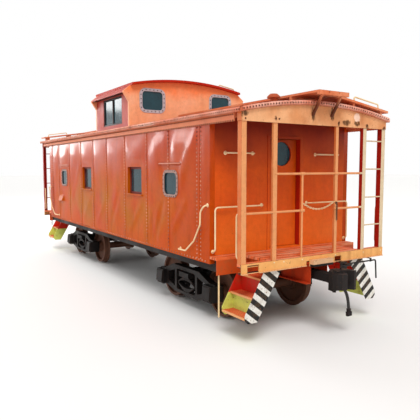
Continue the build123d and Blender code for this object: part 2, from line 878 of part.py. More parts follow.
def cupola_arc(edge_z):
    """An arc across the cupola, from one edge of its roof over the crown to the other."""
    rim = cupola_roof_half
    return ThreePointArc((-rim, edge_z), (0, edge_z + cupola_rise), (rim, edge_z))


def cupola_end_at(x_from):
    """One end wall of the cupola."""
    with BuildPart() as wall:
        with BuildSketch(Plane.YZ.offset(x_from)):
            with BuildLine():
                top = cupola_arc(cupola_eave - cupola_roof_thickness)
                Polyline(
                    top @ 0,
                    (-hood_reach, hood_lip + hood_lip_height),
                    (-hood_reach, hood_lip),
                    (-cupola_half, hood_foot),
                    (-cupola_half, roof_eave - roof_thickness),
                    (cupola_half, roof_eave - roof_thickness),
                    (cupola_half, hood_foot),
                    (hood_reach, hood_lip),
                    (hood_reach, hood_lip + hood_lip_height),
                    top @ 1,
                )
            make_face()
            with Locations((-cupola_window_y, cupola_window_z), (cupola_window_y, cupola_window_z)):
                RectangleRounded(
                    cupola_window_width + 2 * cupola_lip,
                    cupola_window_height + 2 * cupola_lip,
                    cupola_window_corner + cupola_lip,
                    mode=Mode.SUBTRACT,
                )
        extrude(amount=cupola_wall)
        add(roof_mass, mode=Mode.SUBTRACT)
    return wall.part


cupola_ends = [("a", cupola_near - cupola_wall), ("b", cupola_far)]
for end, x_from in cupola_ends:
    cupola_end = cupola_end_at(x_from)
    cupola_end.label = f"cupola_end_{end}"
    export_step(cupola_end, f"parts/cupola_end_{end}.step")

# Cupola side walls: a wide sliding window under a hood that spreads outward
hood_window_shift = 60.0
hood_window_x = cupola_center + hood_window_shift
hood_window_width = 1040.0
hood_window_lift = 107.0
hood_window_low = roof_eave + hood_window_lift
hood_window_drop = 15.0
hood_window_top = hood_lip - hood_window_drop
hood_window_z = (hood_window_low + hood_window_top) / 2
hood_window_height = hood_window_top - hood_window_low


def cupola_side_at(side):
    """One side wall of the cupola with its hood, side -1 at -Y."""
    with BuildPart() as wall:
        with BuildSketch(Plane.YZ.offset(cupola_far + cupola_wall)):
            with BuildLine():
                inner = side * (cupola_half - cupola_wall)
                edge = cupola_eave - cupola_roof_thickness
                rim = side * cupola_roof_half
                Polyline(
                    (inner, roof_eave - roof_thickness),
                    (side * cupola_half, roof_eave - roof_thickness),
                    (side * cupola_half, hood_lip),
                    (side * hood_reach, hood_lip),
                    (side * hood_reach, hood_lip + hood_lip_height),
                    (rim, edge),
                    (inner, edge + cupola_rise),
                    close=True,
                )
            make_face()
        extrude(amount=cupola_length - 2 * cupola_wall)
        add(under_cupola_roof_wide, mode=Mode.INTERSECT)
        add(roof_mass, mode=Mode.SUBTRACT)
        with BuildSketch(Plane.XZ.offset(-side * cupola_half)):
            with Locations((hood_window_x, hood_window_z)):
                Rectangle(hood_window_width, hood_window_height)
        extrude(amount=2 * cupola_wall, both=True, mode=Mode.SUBTRACT)
    return wall.part


with BuildPart() as hood_mass:
    with BuildSketch(Plane.YZ.offset(cupola_far)):
        with BuildLine():
            top = cupola_arc(cupola_eave - cupola_roof_thickness)
            Polyline(
                top @ 0,
                (-hood_reach, hood_lip + hood_lip_height),
                (-hood_reach, 0),
                (hood_reach, 0),
                (hood_reach, hood_lip + hood_lip_height),
                top @ 1,
            )
        make_face()
    extrude(amount=cupola_length)
under_cupola_roof_wide = hood_mass.part

for name, side in (("right", -1), ("left", 1)):
    cupola_side = cupola_side_at(side)
    cupola_side.label = f"cupola_side_{name}"
    export_step(cupola_side, f"parts/cupola_side_{name}.step")

# Cupola roof: a thin arched sheet that overhangs both ends
with BuildPart() as cupola_roof:
    with BuildSketch(Plane.YZ.offset(cupola_far - cupola_overhang)):
        with BuildLine():
            top = cupola_arc(cupola_eave)
            under = cupola_arc(cupola_eave - cupola_roof_thickness)
            Line(top @ 0, under @ 0)
            Line(top @ 1, under @ 1)
        make_face()
    extrude(amount=cupola_length + 2 * cupola_overhang)
cupola_roof.part.label = "cupola_roof"
export_step(cupola_roof.part, "parts/cupola_roof.step")

# Cupola window frames: bolted rings on the ends, sliding sashes in the sides
cupola_ring = 46.0
cupola_ring_proud = 9.0
cupola_frame = 34.0
cupola_frame_depth = 44.0
cupola_frame_recess = 8.0
cupola_frame_back = cupola_half - cupola_frame_recess
with BuildPart() as cupola_frames:
    for x_face, outward in ((cupola_near, 1), (cupola_far, -1)):
        for y in (-cupola_window_y, cupola_window_y):
            for extra, depth, way in (
                (cupola_lip + cupola_ring, cupola_ring_proud, outward),
                (cupola_lip, cupola_wall / 2, -outward),
            ):
                with BuildSketch(Plane.YZ.offset(x_face)):
                    with Locations((y, cupola_window_z)):
                        RectangleRounded(
                            cupola_window_width + 2 * extra,
                            cupola_window_height + 2 * extra,
                            cupola_window_corner + extra,
                        )
                        RectangleRounded(
                            cupola_window_width,
                            cupola_window_height,
                            cupola_window_corner,
                            mode=Mode.SUBTRACT,
                        )
                extrude(amount=way * depth)
    for side in (-1, 1):
        with BuildSketch(Plane.XZ.offset(-side * cupola_frame_back)):
            with Locations((hood_window_x, hood_window_z)):
                Rectangle(hood_window_width, hood_window_height)
            pane_width = (hood_window_width - 3 * cupola_frame) / 2
            pane_height = hood_window_height - 2 * cupola_frame
            shift = (pane_width + cupola_frame) / 2
            pane_sites = [(hood_window_x - shift, hood_window_z), (hood_window_x + shift, hood_window_z)]
            with Locations(pane_sites):
                Rectangle(pane_width, pane_height, mode=Mode.SUBTRACT)
        extrude(amount=side * cupola_frame_depth)
cupola_frames.part.label = "cupola_frames"
export_step(cupola_frames.part, "parts/cupola_frames.step")

# Window glass, one pane in each frame
with BuildPart() as window_glass:
    for side in (-1, 1):
        for x, z, width, height, corner, kind in body_windows:
            recess = gasket_flange / 2 if kind == "gasket" else sash_recess + sash_thickness / 2
            margin = 0.0 if kind == "gasket" else sash_rail
            with BuildSketch(Plane.XZ.offset(-side * (half_width - recess))):
                with Locations((x, z)):
                    if kind == "gasket":
                        RectangleRounded(width, height, corner)
                    else:
                        Rectangle(width - 2 * margin, height - 2 * margin)
            extrude(amount=side * glass_thickness)
        with BuildSketch(Plane.XZ.offset(-side * (cupola_frame_back - cupola_frame_depth / 2))):
            with Locations(pane_sites):
                Rectangle(pane_width, pane_height)
        extrude(amount=side * glass_thickness)
    for x_face, outward in ((cupola_near, 1), (cupola_far, -1)):
        with BuildSketch(Plane.YZ.offset(x_face - outward * cupola_wall / 4)):
            with Locations((-cupola_window_y, cupola_window_z), (cupola_window_y, cupola_window_z)):
                RectangleRounded(cupola_window_width, cupola_window_height, cupola_window_corner)
        extrude(amount=-outward * glass_thickness)
window_glass.part.label = "window_glass"
export_step(window_glass.part, "parts/window_glass.step")

# Running boards: three planks on saddles along the roof at each end, a side board to the
# ladder, and two struts that hold up the overhanging end
plank_gap = (walk_width - 3 * walk_plank) / 2
walk_under = walk_top - walk_thickness
saddle_x = [index * seam_pitch for index in range(1, seam_count + 1)]
walk_gap = 40.0
walk_start = cupola_near + cupola_overhang + walk_gap
walk_start_b = -cupola_far + cupola_overhang + walk_gap
end_cleat = 30.0
side_board_set_back = 397.0
side_board_width = 408.0
side_board_from = platform_end - side_board_set_back
side_board_to = side_board_from + side_board_width
side_board_inset = 20.0
side_board_reach = roof_half_width - side_board_inset
side_board_drop = 175.0
side_board_legs = [700.0, 1340.0]
leg_inset = 30.0
leg_sink = 60.0
strut_y = 190.0
strut_width = 34.0
strut_thickness = 26.0
strut_foot_drop = 15.0
strut_foot = roof_eave - strut_foot_drop
strut_inset = 50.0
strut_top = walk_reach - strut_inset


def walkway(start):
    """The boards of one end, from the cupola to the overhang, built at end a."""
    with BuildPart(mode=Mode.PRIVATE) as board:
        for index in (-1, 0, 1):
            plank_from = index * (walk_plank + plank_gap) - walk_plank / 2
            add(block(start, walk_reach, plank_from, plank_from + walk_plank, walk_under, walk_top))
        half = walk_width / 2
        for x in saddle_x:
            if x > start:
                saddle_from = x - saddle_width / 2
                add(block(saddle_from, saddle_from + saddle_width, -half, half, roof_eave, walk_under))
        cleat_low = walk_under - end_cleat
        add(block(walk_reach - saddle_width, walk_reach, -half, half, cleat_low, walk_under))
        with BuildSketch(Plane.YZ.offset(side_board_from)):
            with BuildLine():
                low = walk_under - side_board_drop
                inner_y = walk_width / 2
                Polyline(
                    (inner_y, walk_under),
                    (inner_y, walk_top),
                    (side_board_reach, low + walk_thickness),
                    (side_board_reach, low),
                    close=True,
                )
            make_face()
        extrude(amount=side_board_to - side_board_from)
        for y in side_board_legs:
            share = (y - inner_y) / (side_board_reach - inner_y)
            leg_top = walk_under - side_board_drop * share + walk_thickness / 2
            leg_from = y - saddle_width / 2
            leg_to = y + saddle_width / 2
            leg_near = side_board_from + leg_inset
            leg_far = side_board_to - leg_inset
            add(block(leg_near, leg_far, leg_from, leg_to, roof_eave - leg_sink, leg_top))
        add(roof_mass, mode=Mode.SUBTRACT)
        for y in (-strut_y, strut_y):
            with BuildSketch(Plane.XZ.offset(-y - strut_width / 2)):
                with BuildLine():
                    Polyline(
                        (platform_end, strut_foot),
                        (platform_end, strut_foot - strut_thickness),
                        (platform_end + strut_thickness, strut_foot - strut_thickness),
                        (strut_top + strut_thickness, walk_under),
                        (strut_top, walk_under),
                        close=True,
                    )
                make_face()
            extrude(amount=strut_width)
    return board.part


with BuildPart() as running_boards:
    add(walkway(walk_start))
    add(walkway(walk_start_b).rotate(Axis.Z, 180))
running_boards.part.label = "running_boards"
export_step(running_boards.part, "parts/running_boards.step")

# Grab irons of bent rod, on the sides, the posts, the end walls, the side boards and the cupola
grab_d = 24.0
grab_bend = 55.0
short_bend = 27.5
grab_off = 62.0
# Columns: distance back from the corner of the body, distance out from the side, z
side_hand_run = [
    (57.0, 0.0, 1957.0),
    (57.0, grab_off, 1957.0),
    (161.0, grab_off, 1850.0),
    (171.0, grab_off, 1660.0),
    (357.0, grab_off, 1390.0),
    (617.0, grab_off, 1205.0),
    (877.0, grab_off, 1200.0),
    (877.0, 0.0, 1200.0),
]
side_hand = [(body_end - back, half_width + out, z) for back, out, z in side_hand_run]
post_hand_set_back = 147.0
post_hand_x = platform_end - post_hand_set_back
post_hand_top = 1885.0
post_hand_low = 1262.0
iron_lap = 20.0
post_hand_foot = post_back + iron_lap
post_hand_y = half_width - iron_lap
post_hand = [
    (post_hand_foot, post_hand_y, post_hand_top),
    (post_hand_x, post_hand_y, post_hand_top),
    (post_hand_x, post_hand_y, post_hand_low),
    (post_hand_foot, post_hand_y, post_hand_low),
]
end_hand_outer = half_width - 58.0
end_hand_inner = 480.0
end_rod_outer = half_width - 278.0
end_rod_inner = 664.0
# Columns: distance out from the end wall, y, z
end_hand_run = [
    (0.0, end_hand_outer, 1262.0),
    (grab_off, end_hand_outer, 1262.0),
    (grab_off, end_hand_outer, 1925.0),
    (grab_off, end_hand_inner, 1925.0),
    (0.0, end_hand_inner, 1925.0),
]
end_hand = [(body_end + out, y, z) for out, y, z in end_hand_run]
end_rod_z = 2732.0
end_rod = [
    (body_end, end_rod_outer, end_rod_z),
    (body_end + grab_off, end_rod_outer, end_rod_z),
    (body_end + grab_off, end_rod_inner, end_rod_z),
    (body_end, end_rod_inner, end_rod_z),
]
board_hand_inset = 28.0
board_hand_x = side_board_to - board_hand_inset
board_slope = side_board_drop / (side_board_reach - walk_width / 2)
board_hand_from = 700.0
board_hand_to = 1260.0


def board_surface(y):
    """Top of the sloping side board."""
    return walk_top - (y - walk_width / 2) * board_slope


hand_bury = 12.0
board_hand = [
    (board_hand_x, board_hand_from, board_surface(board_hand_from) - hand_bury),
    (board_hand_x, board_hand_from, board_surface(board_hand_from) + grab_off),
    (board_hand_x, board_hand_to, board_surface(board_hand_to) + grab_off),
    (board_hand_x, board_hand_to, board_surface(board_hand_to) - hand_bury),
]
cupola_hand_inset = 40.0
cupola_hand_x = cupola_near - cupola_hand_inset
cupola_hand_from = 820.0
cupola_hand_to = 1220.0
cupola_radius = (cupola_roof_half**2 + cupola_rise**2) / (2 * cupola_rise)


def cupola_roof_z(y):
    """Top of the cupola roof."""
    return cupola_eave + cupola_rise - cupola_radius + math.sqrt(cupola_radius**2 - y**2)


cupola_hand = [
    (cupola_hand_x, cupola_hand_from, cupola_roof_z(cupola_hand_from) - hand_bury),
    (cupola_hand_x, cupola_hand_from, cupola_roof_z(cupola_hand_from) + grab_off),
    (cupola_hand_x, cupola_hand_to, cupola_roof_z(cupola_hand_to) + grab_off),
    (cupola_hand_x, cupola_hand_to, cupola_roof_z(cupola_hand_to) - hand_bury),
]
side_irons = at_four_corners(bent_rod(side_hand, grab_bend, grab_d))
post_irons = at_four_corners(bent_rod(post_hand, grab_bend, grab_d) - corner_post)
end_irons = at_four_corners(bent_rod(end_hand, grab_bend, grab_d))
end_rods = at_four_corners(bent_rod(end_rod, short_bend, grab_d))
board_irons = at_both_ends(bent_rod(board_hand, short_bend, grab_d) - walkway(walk_start))
cupola_irons = [bent_rod(cupola_hand, short_bend, grab_d) - cupola_roof.part]
with BuildPart() as grab_irons:
    for iron in side_irons + post_irons + end_irons + end_rods + board_irons + cupola_irons:
        add(iron)
grab_irons.part.label = "grab_irons"
export_step(grab_irons.part, "parts/grab_irons.step")

# Roof vent: a short stem under a shallow cap
vent_stand = 223.0
vent_x = body_end + vent_stand
vent_y = -440.0
vent_stem_r = 58.0
vent_cap_r = 100.0
vent_height = 320.0
vent_top = roof_eave + vent_height
vent_cap_drop = 62.0
vent_cap_rise = 40.0
with BuildPart() as roof_vent:
    with BuildSketch(Plane(origin=(vent_x, vent_y, 0), x_dir=(1, 0, 0), z_dir=(0, -1, 0))):
        with BuildLine():
            Polyline(
                (0, roof_eave),
                (vent_stem_r, roof_eave),
                (vent_stem_r, vent_top - vent_cap_drop),
                (vent_cap_r, vent_top - vent_cap_drop),
                (vent_cap_r, vent_top - vent_cap_rise),
                (vent_stem_r, vent_top),
                (0, vent_top),
                close=True,
            )
        make_face()
    revolve(axis=Axis((vent_x, vent_y, 0), (0, 0, 1)))
    add(roof_mass, mode=Mode.SUBTRACT)
roof_vent.part.label = "roof_vent"
export_step(roof_vent.part, "parts/roof_vent.step")

# Couplers: draft gear, shank and head, with the knuckle shut in it
shank_set_back = 357.0
shank_back = platform_end - shank_set_back
shank_lap = 60.0
gear_length = 520.0
gear_back = shank_back - gear_length
gear_half_y = 140.0
gear_height = 220.0
head_length = 290.0
head_back = coupler_reach - head_length
head_height = 280.0
knuckle_height = 230.0
pocket_wall = 4.0
knuckle_pin_d = 52.0
knuckle_pin_x = 150.0
knuckle_pin_y = -128.0
knuckle_pin_stand = 20.0
# Columns: x from the back of the head, y of each corner of the head and of the shut knuckle
head_outline = [
    (0.0, -64.0),
    (70.0, -165.0),
    (165.0, -178.0),
    (178.0, -60.0),
    (150.0, 20.0),
    (176.0, 90.0),
    (268.0, 150.0),
    (262.0, 196.0),
    (120.0, 172.0),
    (60.0, 120.0),
    (0.0, 64.0),
]
knuckle_outline = [
    (165.0, -178.0),
    (235.0, -165.0),
    (290.0, -110.0),
    (290.0, -10.0),
    (250.0, 16.0),
    (212.0, 4.0),
    (216.0, -58.0),
    (178.0, -60.0),
]
with BuildPart() as coupler:
    shank_low = coupler_z - shank_height / 2
    shank_half = shank_width / 2
    shank_front = head_back + shank_lap
    gear_top = shank_low + gear_height - pocket_wall
    add(block(gear_back, shank_back, -gear_half_y, gear_half_y, shank_low, gear_top))
    add(block(shank_back, shank_front, -shank_half, shank_half, shank_low, shank_low + shank_height))
    with BuildSketch(Plane.XY.offset(coupler_z - head_height / 2)):
        with BuildLine():
            Polyline(*[(head_back + x, y) for x, y in head_outline], close=True)
        make_face()
    extrude(amount=head_height)
    with BuildSketch(Plane.XY.offset(coupler_z - knuckle_height / 2)):
        with BuildLine():
            Polyline(*[(head_back + x, y) for x, y in knuckle_outline], close=True)
        make_face()
    extrude(amount=knuckle_height)
    with BuildSketch(Plane.XY.offset(coupler_z - head_height / 2 - knuckle_pin_stand)):
        with Locations((head_back + knuckle_pin_x, knuckle_pin_y)):
            Circle(knuckle_pin_d / 2)
    extrude(amount=head_height + 2 * knuckle_pin_stand)
with BuildPart() as couplers:
    for copy in at_both_ends(coupler.part):
        add(copy)
couplers.part.label = "couplers"
export_step(couplers.part, "parts/couplers.step")

# Carrier irons under the shanks, hung from the centre sill
carrier_set_back = 197.0
carrier_x = platform_end - carrier_set_back
carrier_width = 70.0
carrier_bar = 22.0
carrier_top = coupler_z - shank_height / 2
with BuildPart() as carriers:
    with BuildSketch(Plane.YZ.offset(carrier_x)):
        with Locations((0, carrier_top - carrier_bar / 2)):
            Rectangle(center_sill_gap, carrier_bar)
    bar = extrude(amount=carrier_width)
    add(bar.rotate(Axis.Z, 180))
carriers.part.label = "coupler_carriers"
export_step(carriers.part, "parts/coupler_carriers.step")

# Uncoupling levers: bent rods from the coupler head to a handle at the side
lever_d = 24.0
lever_stand = 68.0
lever_x = platform_end + lever_stand
lever_z = 1020.0
lever_bend = 30.0
lever_lift = 40.0
lever_eye = 90.0
lever_eye_x = head_back + lever_eye
lever_foot_z = coupler_z + head_height / 2
lever_handle_y = half_width - 250.0
lever_path = [
    (lever_eye_x, 60.0, lever_foot_z),
    (lever_eye_x, 60.0, lever_foot_z + lever_lift),
    (lever_eye_x, 300.0, lever_foot_z + lever_lift),
    (lever_x, 460.0, lever_z),
    (lever_x, lever_handle_y, lever_z),
    (lever_x + 20.0, lever_handle_y, lever_z - 300.0),
]
# Columns: middle y, width, lowest z of each bracket
lever_brackets = [(455.0, 150.0, 945.0), (1080.0, 40.0, 1002.0)]
bracket_plate = 8.0
bracket_root = 40.0
with BuildPart() as lever:
    add(bent_rod(lever_path, lever_bend, lever_d))
    for y, width, low_z in lever_brackets:
        bracket_from = y - width / 2
        bracket_to = y + width / 2
        shelf_low = sill_bottom - bracket_plate
        root = platform_end - bracket_root
        hanger = lever_x - bracket_plate / 2
        add(block(root, hanger, bracket_from, bracket_to, shelf_low, sill_bottom))
        add(block(hanger, hanger + bracket_plate, bracket_from, bracket_to, low_z, sill_bottom))
with BuildPart() as levers:
    for copy in at_both_ends(lever.part):
        add(copy)
levers.part.label = "uncoupling_levers"
export_step(levers.part, "parts/uncoupling_levers.step")

# Brake gear under the floor: cylinder, two-chamber reservoir and the train pipes
cylinder_x = -1080.0
cylinder_y = 700.0
cylinder_z = 938.0
cylinder_r = 135.0
cylinder_length = 420.0
cylinder_cap_proud = 22.0
cylinder_cap_thickness = 40.0
piston_length = 330.0
piston_rod_r = 26.0
hanger_width = 60.0
# Columns: distance along the cylinder of each hanger
cylinder_hangers = [80.0, 300.0]
cylinder_hanger_half = 100.0
cylinder_hanger_rise = 40.0
reservoir_x = 950.0
reservoir_y = -700.0
reservoir_z = 930.0
reservoir_r = 150.0
reservoir_length = 700.0
reservoir_corner = 50.0
reservoir_band = 36.0
reservoir_band_proud = 20.0
# Columns: distance from the middle of the reservoir of each hanger
reservoir_hangers = [-230.0, 170.0]
reservoir_hanger_half = 90.0
reservoir_hanger_rise = 60.0
train_pipe_y = 300.0
train_pipe_z = 752.0
train_pipe_d = 42.0
pipe_past_truck = 220.0
train_pipe_from = truck_center + pipe_past_truck
cock_set_back = 27.0
train_pipe_to = platform_end - cock_set_back
cock_length = 120.0
cock_d = 70.0
clamp_width = 40.0
clamp_reach = 60.0
# Distance of each clamp from the start of the pipe or, for the last, back from the end sill
clamp_sites = [train_pipe_from + 120.0, train_pipe_from + 900.0, center_sill_end - 80.0]
with BuildPart() as brake_gear:
    with BuildSketch(Plane.YZ.offset(cylinder_x)):
        with Locations((cylinder_y, cylinder_z)):
            Circle(cylinder_r)
    extrude(amount=cylinder_length)
    with BuildSketch(Plane.YZ.offset(cylinder_x - cylinder_cap_thickness / 2)):
        with Locations((cylinder_y, cylinder_z)):
            Circle(cylinder_r + cylinder_cap_proud)
    extrude(amount=cylinder_cap_thickness)
    with BuildSketch(Plane.YZ.offset(cylinder_x - piston_length)):
        with Locations((cylinder_y, cylinder_z)):
            Circle(piston_rod_r)
    extrude(amount=piston_length)
    for along in cylinder_hangers:
        x = cylinder_x + along
        y_from = cylinder_y - cylinder_hanger_half
        y_to = cylinder_y + cylinder_hanger_half
        low = cylinder_z + cylinder_hanger_rise
        add(block(x, x + hanger_width, y_from, y_to, low, floor_bottom))
    with BuildSketch(Plane.YZ.offset(reservoir_x - reservoir_length / 2)):
        with Locations((reservoir_y, reservoir_z)):
            Circle(reservoir_r)
    tank = extrude(amount=reservoir_length)
    fillet(tank.edges().filter_by(GeomType.CIRCLE), reservoir_corner)
    with BuildSketch(Plane.YZ.offset(reservoir_x - reservoir_band / 2)):
        with Locations((reservoir_y, reservoir_z)):
            Circle(reservoir_r + reservoir_band_proud)
    extrude(amount=reservoir_band)
    for along in reservoir_hangers:
        x = reservoir_x + along
        y_from = reservoir_y - reservoir_hanger_half
        y_to = reservoir_y + reservoir_hanger_half
        low = reservoir_z + reservoir_hanger_rise
        add(block(x, x + hanger_width, y_from, y_to, low, floor_bottom))
    pipe_start = (train_pipe_from, train_pipe_y, train_pipe_z)
    pipe_end = (train_pipe_to, train_pipe_y, train_pipe_z)
    pipe = straight_rod(pipe_start, pipe_end, train_pipe_d)
    clamp_y = train_pipe_y - clamp_reach
    for x in clamp_sites:
        pipe = pipe + block(x, x + clamp_width, clamp_y, train_pipe_y, train_pipe_z, center_sill_bottom)
    cock_start = (train_pipe_to - cock_length / 2, train_pipe_y, train_pipe_z)
    cock_stop = (train_pipe_to + cock_length / 2, train_pipe_y, train_pipe_z)
    pipe = pipe + straight_rod(cock_start, cock_stop, cock_d)
    for copy in at_both_ends(pipe):
        add(copy)
brake_gear.part.label = "brake_gear"
export_step(brake_gear.part, "parts/brake_gear.step")

# Air hoses: rubber hoses that hang from the angle cocks, each with a glad hand
hose_d = 46.0
cock_end = train_pipe_to + cock_length / 2
hose_route = [
    (cock_end, train_pipe_y, train_pipe_z),
    (cock_end + 110.0, train_pipe_y, train_pipe_z),
    (cock_end + 215.0, train_pipe_y + 16.0, train_pipe_z - 92.0),
    (cock_end + 262.0, train_pipe_y + 24.0, train_pipe_z - 220.0),
    (cock_end + 270.0, train_pipe_y + 28.0, train_pipe_z - 352.0),
]
hose_runs = [(Vector(*b) - Vector(*a)) for a, b in zip(hose_route, hose_route[1:])]
hose_bend_share = 0.45
hose_radii = []
for first, second in zip(hose_runs, hose_runs[1:]):
    turn = math.radians(first.get_angle(second))
    hose_radii.append(hose_bend_share * min(first.length, second.length) / math.tan(turn / 2))
print("hose bend radii", [round(radius) for radius in hose_radii])
collar_length = 44.0
collar_r = 34.0
hand_length = 66.0
hand_thickness = 44.2
hand_width = 88.4
with BuildPart() as hose:
    with BuildLine() as hose_path:
        FilletPolyline(*hose_route, radius=hose_radii)
    with BuildSketch(Plane(origin=hose_path.line @ 0, z_dir=hose_path.line % 0)):
        Circle(hose_d / 2)
    sweep()
hose_end = hose_path.line @ 1
hose_way = hose_path.line % 1
with BuildPart() as hand:
    with BuildSketch(Plane(origin=hose_end, z_dir=hose_way)):
        Circle(collar_r)
    extrude(amount=collar_length)
    with BuildSketch(Plane(origin=hose_end + hose_way * collar_length, z_dir=hose_way)):
        Rectangle(hand_thickness, hand_width)
    extrude(amount=hand_length)
for end, turn in car_ends:
    hose_copy = hose.part.rotate(Axis.Z, turn)
    hose_copy.label = f"air_hose_{end}"
    export_step(hose_copy, f"parts/air_hose_{end}.step")
    hand_copy = hand.part.rotate(Axis.Z, turn)
    hand_copy.label = f"glad_hand_{end}"
    export_step(hand_copy, f"parts/glad_hand_{end}.step")

# Hand brake on platform b: an upright staff with a spoked wheel
staff_set_back = 117.0
staff_x = staff_set_back - platform_end
staff_y = 610.0
staff_top = 2240.0
staff_d = 34.0
brake_wheel_r = 215.0
brake_rim_d = 26.0
brake_hub_r = 45.0
brake_spokes = 5
brake_spoke_d = 18.0
brake_spoke_turn = 18.0
brake_wheel_drop = 20.0
brake_wheel_z = staff_top - brake_wheel_drop
brake_hub_height = 54.0
brake_hub_low = brake_wheel_z - 20.0
ratchet_r = 90.0
ratchet_height = 70.0
with BuildPart() as hand_brake:
    add(straight_rod((staff_x, staff_y, deck_top), (staff_x, staff_y, staff_top), staff_d))
    with BuildSketch(Plane.XY.offset(deck_top)):
        with Locations((staff_x, staff_y)):
            Circle(ratchet_r)
    extrude(amount=ratchet_height)
    with BuildSketch(Plane.XY.offset(brake_hub_low)):
        with Locations((staff_x, staff_y)):
            Circle(brake_hub_r)
    extrude(amount=brake_hub_height)
    wheel_middle = (staff_x, staff_y, brake_wheel_z)
    with BuildSketch(Plane(origin=wheel_middle, x_dir=(1, 0, 0), z_dir=(0, -1, 0))):
        with Locations((brake_wheel_r, 0)):
            RegularPolygon(brake_rim_d / 2, 8)
    revolve(axis=Axis((staff_x, staff_y, 0), (0, 0, 1)))
    for index in range(brake_spokes):
        angle = math.radians(360.0 / brake_spokes * index + brake_spoke_turn)
        tip_x = staff_x + brake_wheel_r * math.cos(angle)
        tip_y = staff_y + brake_wheel_r * math.sin(angle)
        add(straight_rod(wheel_middle, (tip_x, tip_y, brake_wheel_z), brake_spoke_d))
hand_brake.part.label = "hand_brake"
export_step(hand_brake.part, "parts/hand_brake.step")

# Drain pipe that hangs from the side sill near the steps
drain_set_back = 90.0
drain_x = well_near - drain_set_back
drain_inset = 102.0
drain_y = drain_inset - half_width
drain_low = 283.0
drain_d = 26.0
with BuildPart() as drain_pipe:
    add(straight_rod((drain_x, drain_y, drain_low), (drain_x, drain_y, side_sill_bottom), drain_d))
drain_pipe.part.label = "drain_pipe"
export_step(drain_pipe.part, "parts/drain_pipe.step")

# Truck side frames: cast, with a window for the bolster and springs and a box at each axle
frame_in = journal_center - frame_thickness / 2
box_half_x = 125.0
box_low = 312.0
box_high = 582.0
box_in = 872.0
box_out = 1112.0
box_bore_end = 1094.0
frame_top = 735.0
frame_low = 232.0
window_half = 330.0
window_low = 290.0
window_high = 668.0
window_corner = 40.0
half_base = wheelbase / 2
journal_clearance = 0.05
frame_shoulder = window_half + 130.0
frame_neck = half_base - 60.0
frame_neck_top = box_high + 30.0
box_chamfer = 20.0
frame_toe = window_half + 60.0
frame_fillet = 20.0
# Columns: x, z of each corner of the lightening hole
hole_outline = [(395.0, 330.0), (395.0, 640.0), (660.0, 560.0), (660.0, 400.0)]
lid_inset = 15.0
# Columns: distance out from the box, z of each corner of its lid
lid_outline = [
    (0.0, box_low + 20.0),
    (34.0, box_low + 40.0),
    (14.0, box_high - 24.0),
    (0.0, box_high - 16.0),
]
with BuildPart() as side_frame:
    with BuildSketch(Plane.XZ.offset(-frame_in - frame_thickness)):
        with BuildLine():
            right = [
                (0, frame_top),
                (frame_shoulder, frame_top),
                (frame_neck, frame_neck_top),
                (half_base + box_half_x - box_chamfer, box_high + box_chamfer),
                (half_base + box_half_x, box_high),
                (half_base + box_half_x, box_low),
                (half_base - box_half_x, box_low),
                (frame_toe, frame_low),
                (0, frame_low),
            ]
            Polyline(*right, close=True)
        outline = make_face()
        fillet(outline.vertices().group_by(Axis.X)[1:-1][0], frame_fillet)
        mirror(about=Plane.YZ)
        with Locations((0, (window_low + window_high) / 2)):
            window_height = window_high - window_low
            RectangleRounded(2 * window_half, window_height, window_corner, mode=Mode.SUBTRACT)
        with BuildLine():
            Polyline(*hole_outline, close=True)
        lightening = make_face(mode=Mode.PRIVATE)
        add(lightening, mode=Mode.SUBTRACT)
        add(lightening.mirror(Plane.YZ), mode=Mode.SUBTRACT)
    extrude(amount=frame_thickness)
    for x in (-half_base, half_base):
        add(block(x - box_half_x, x + box_half_x, box_in, box_out, box_low, box_high))
        with BuildSketch(Plane.YZ.offset(x - box_half_x + lid_inset)):
            with BuildLine():
                Polyline(*[(box_out + out, z) for out, z in lid_outline], close=True)
            make_face()
        extrude(amount=2 * (box_half_x - lid_inset))
        with BuildSketch(Plane.XZ.offset(-box_in)):
            with Locations((x, axle_z)):
                Circle(journal_r + journal_clearance)
        extrude(amount=box_in - box_bore_end, mode=Mode.SUBTRACT)
side_frame_pair = [side_frame.part, side_frame.part.mirror(Plane.XZ)]

# Truck bolsters: cast beams through the side frames, with the centre bowl and bearing pads
truck_bolster_half_x = 165.0
truck_bolster_reach = 1075.0
truck_bolster_top = 650.0
truck_bolster_low = 470.0
truck_bolster_end_low = 560.0
truck_bolster_end_from = 860.0
truck_bolster_belly = 560.0
bowl_wall = 26.0
bowl_rim = 690.0
with BuildPart() as truck_bolster:
    with BuildSketch(Plane.YZ.offset(-truck_bolster_half_x)):
        with BuildLine():
            Polyline(
                (0, truck_bolster_top),
                (truck_bolster_reach, truck_bolster_top),
                (truck_bolster_reach, truck_bolster_end_low),
                (truck_bolster_end_from, truck_bolster_end_low),
                (truck_bolster_belly, truck_bolster_low),
                (0, truck_bolster_low),
                close=True,
            )
        make_face()
        mirror(about=Plane.YZ)
    extrude(amount=2 * truck_bolster_half_x)
    with BuildSketch(Plane.XY.offset(truck_bolster_top)):
        Circle(center_plate_r + plate_clearance + bowl_wall)
    extrude(amount=bowl_rim - truck_bolster_top)
    with BuildSketch(Plane.XY.offset(center_plate_z)):
        Circle(center_plate_r + plate_clearance)
    extrude(amount=bowl_rim - center_plate_z, mode=Mode.SUBTRACT)
    with BuildSketch(Plane.XY.offset(truck_bolster_top)):
        with Locations((0, bearing_y), (0, -bearing_y)):
            Rectangle(bearing_size, bearing_size)
    extrude(amount=truck_bearing_top - truck_bolster_top)

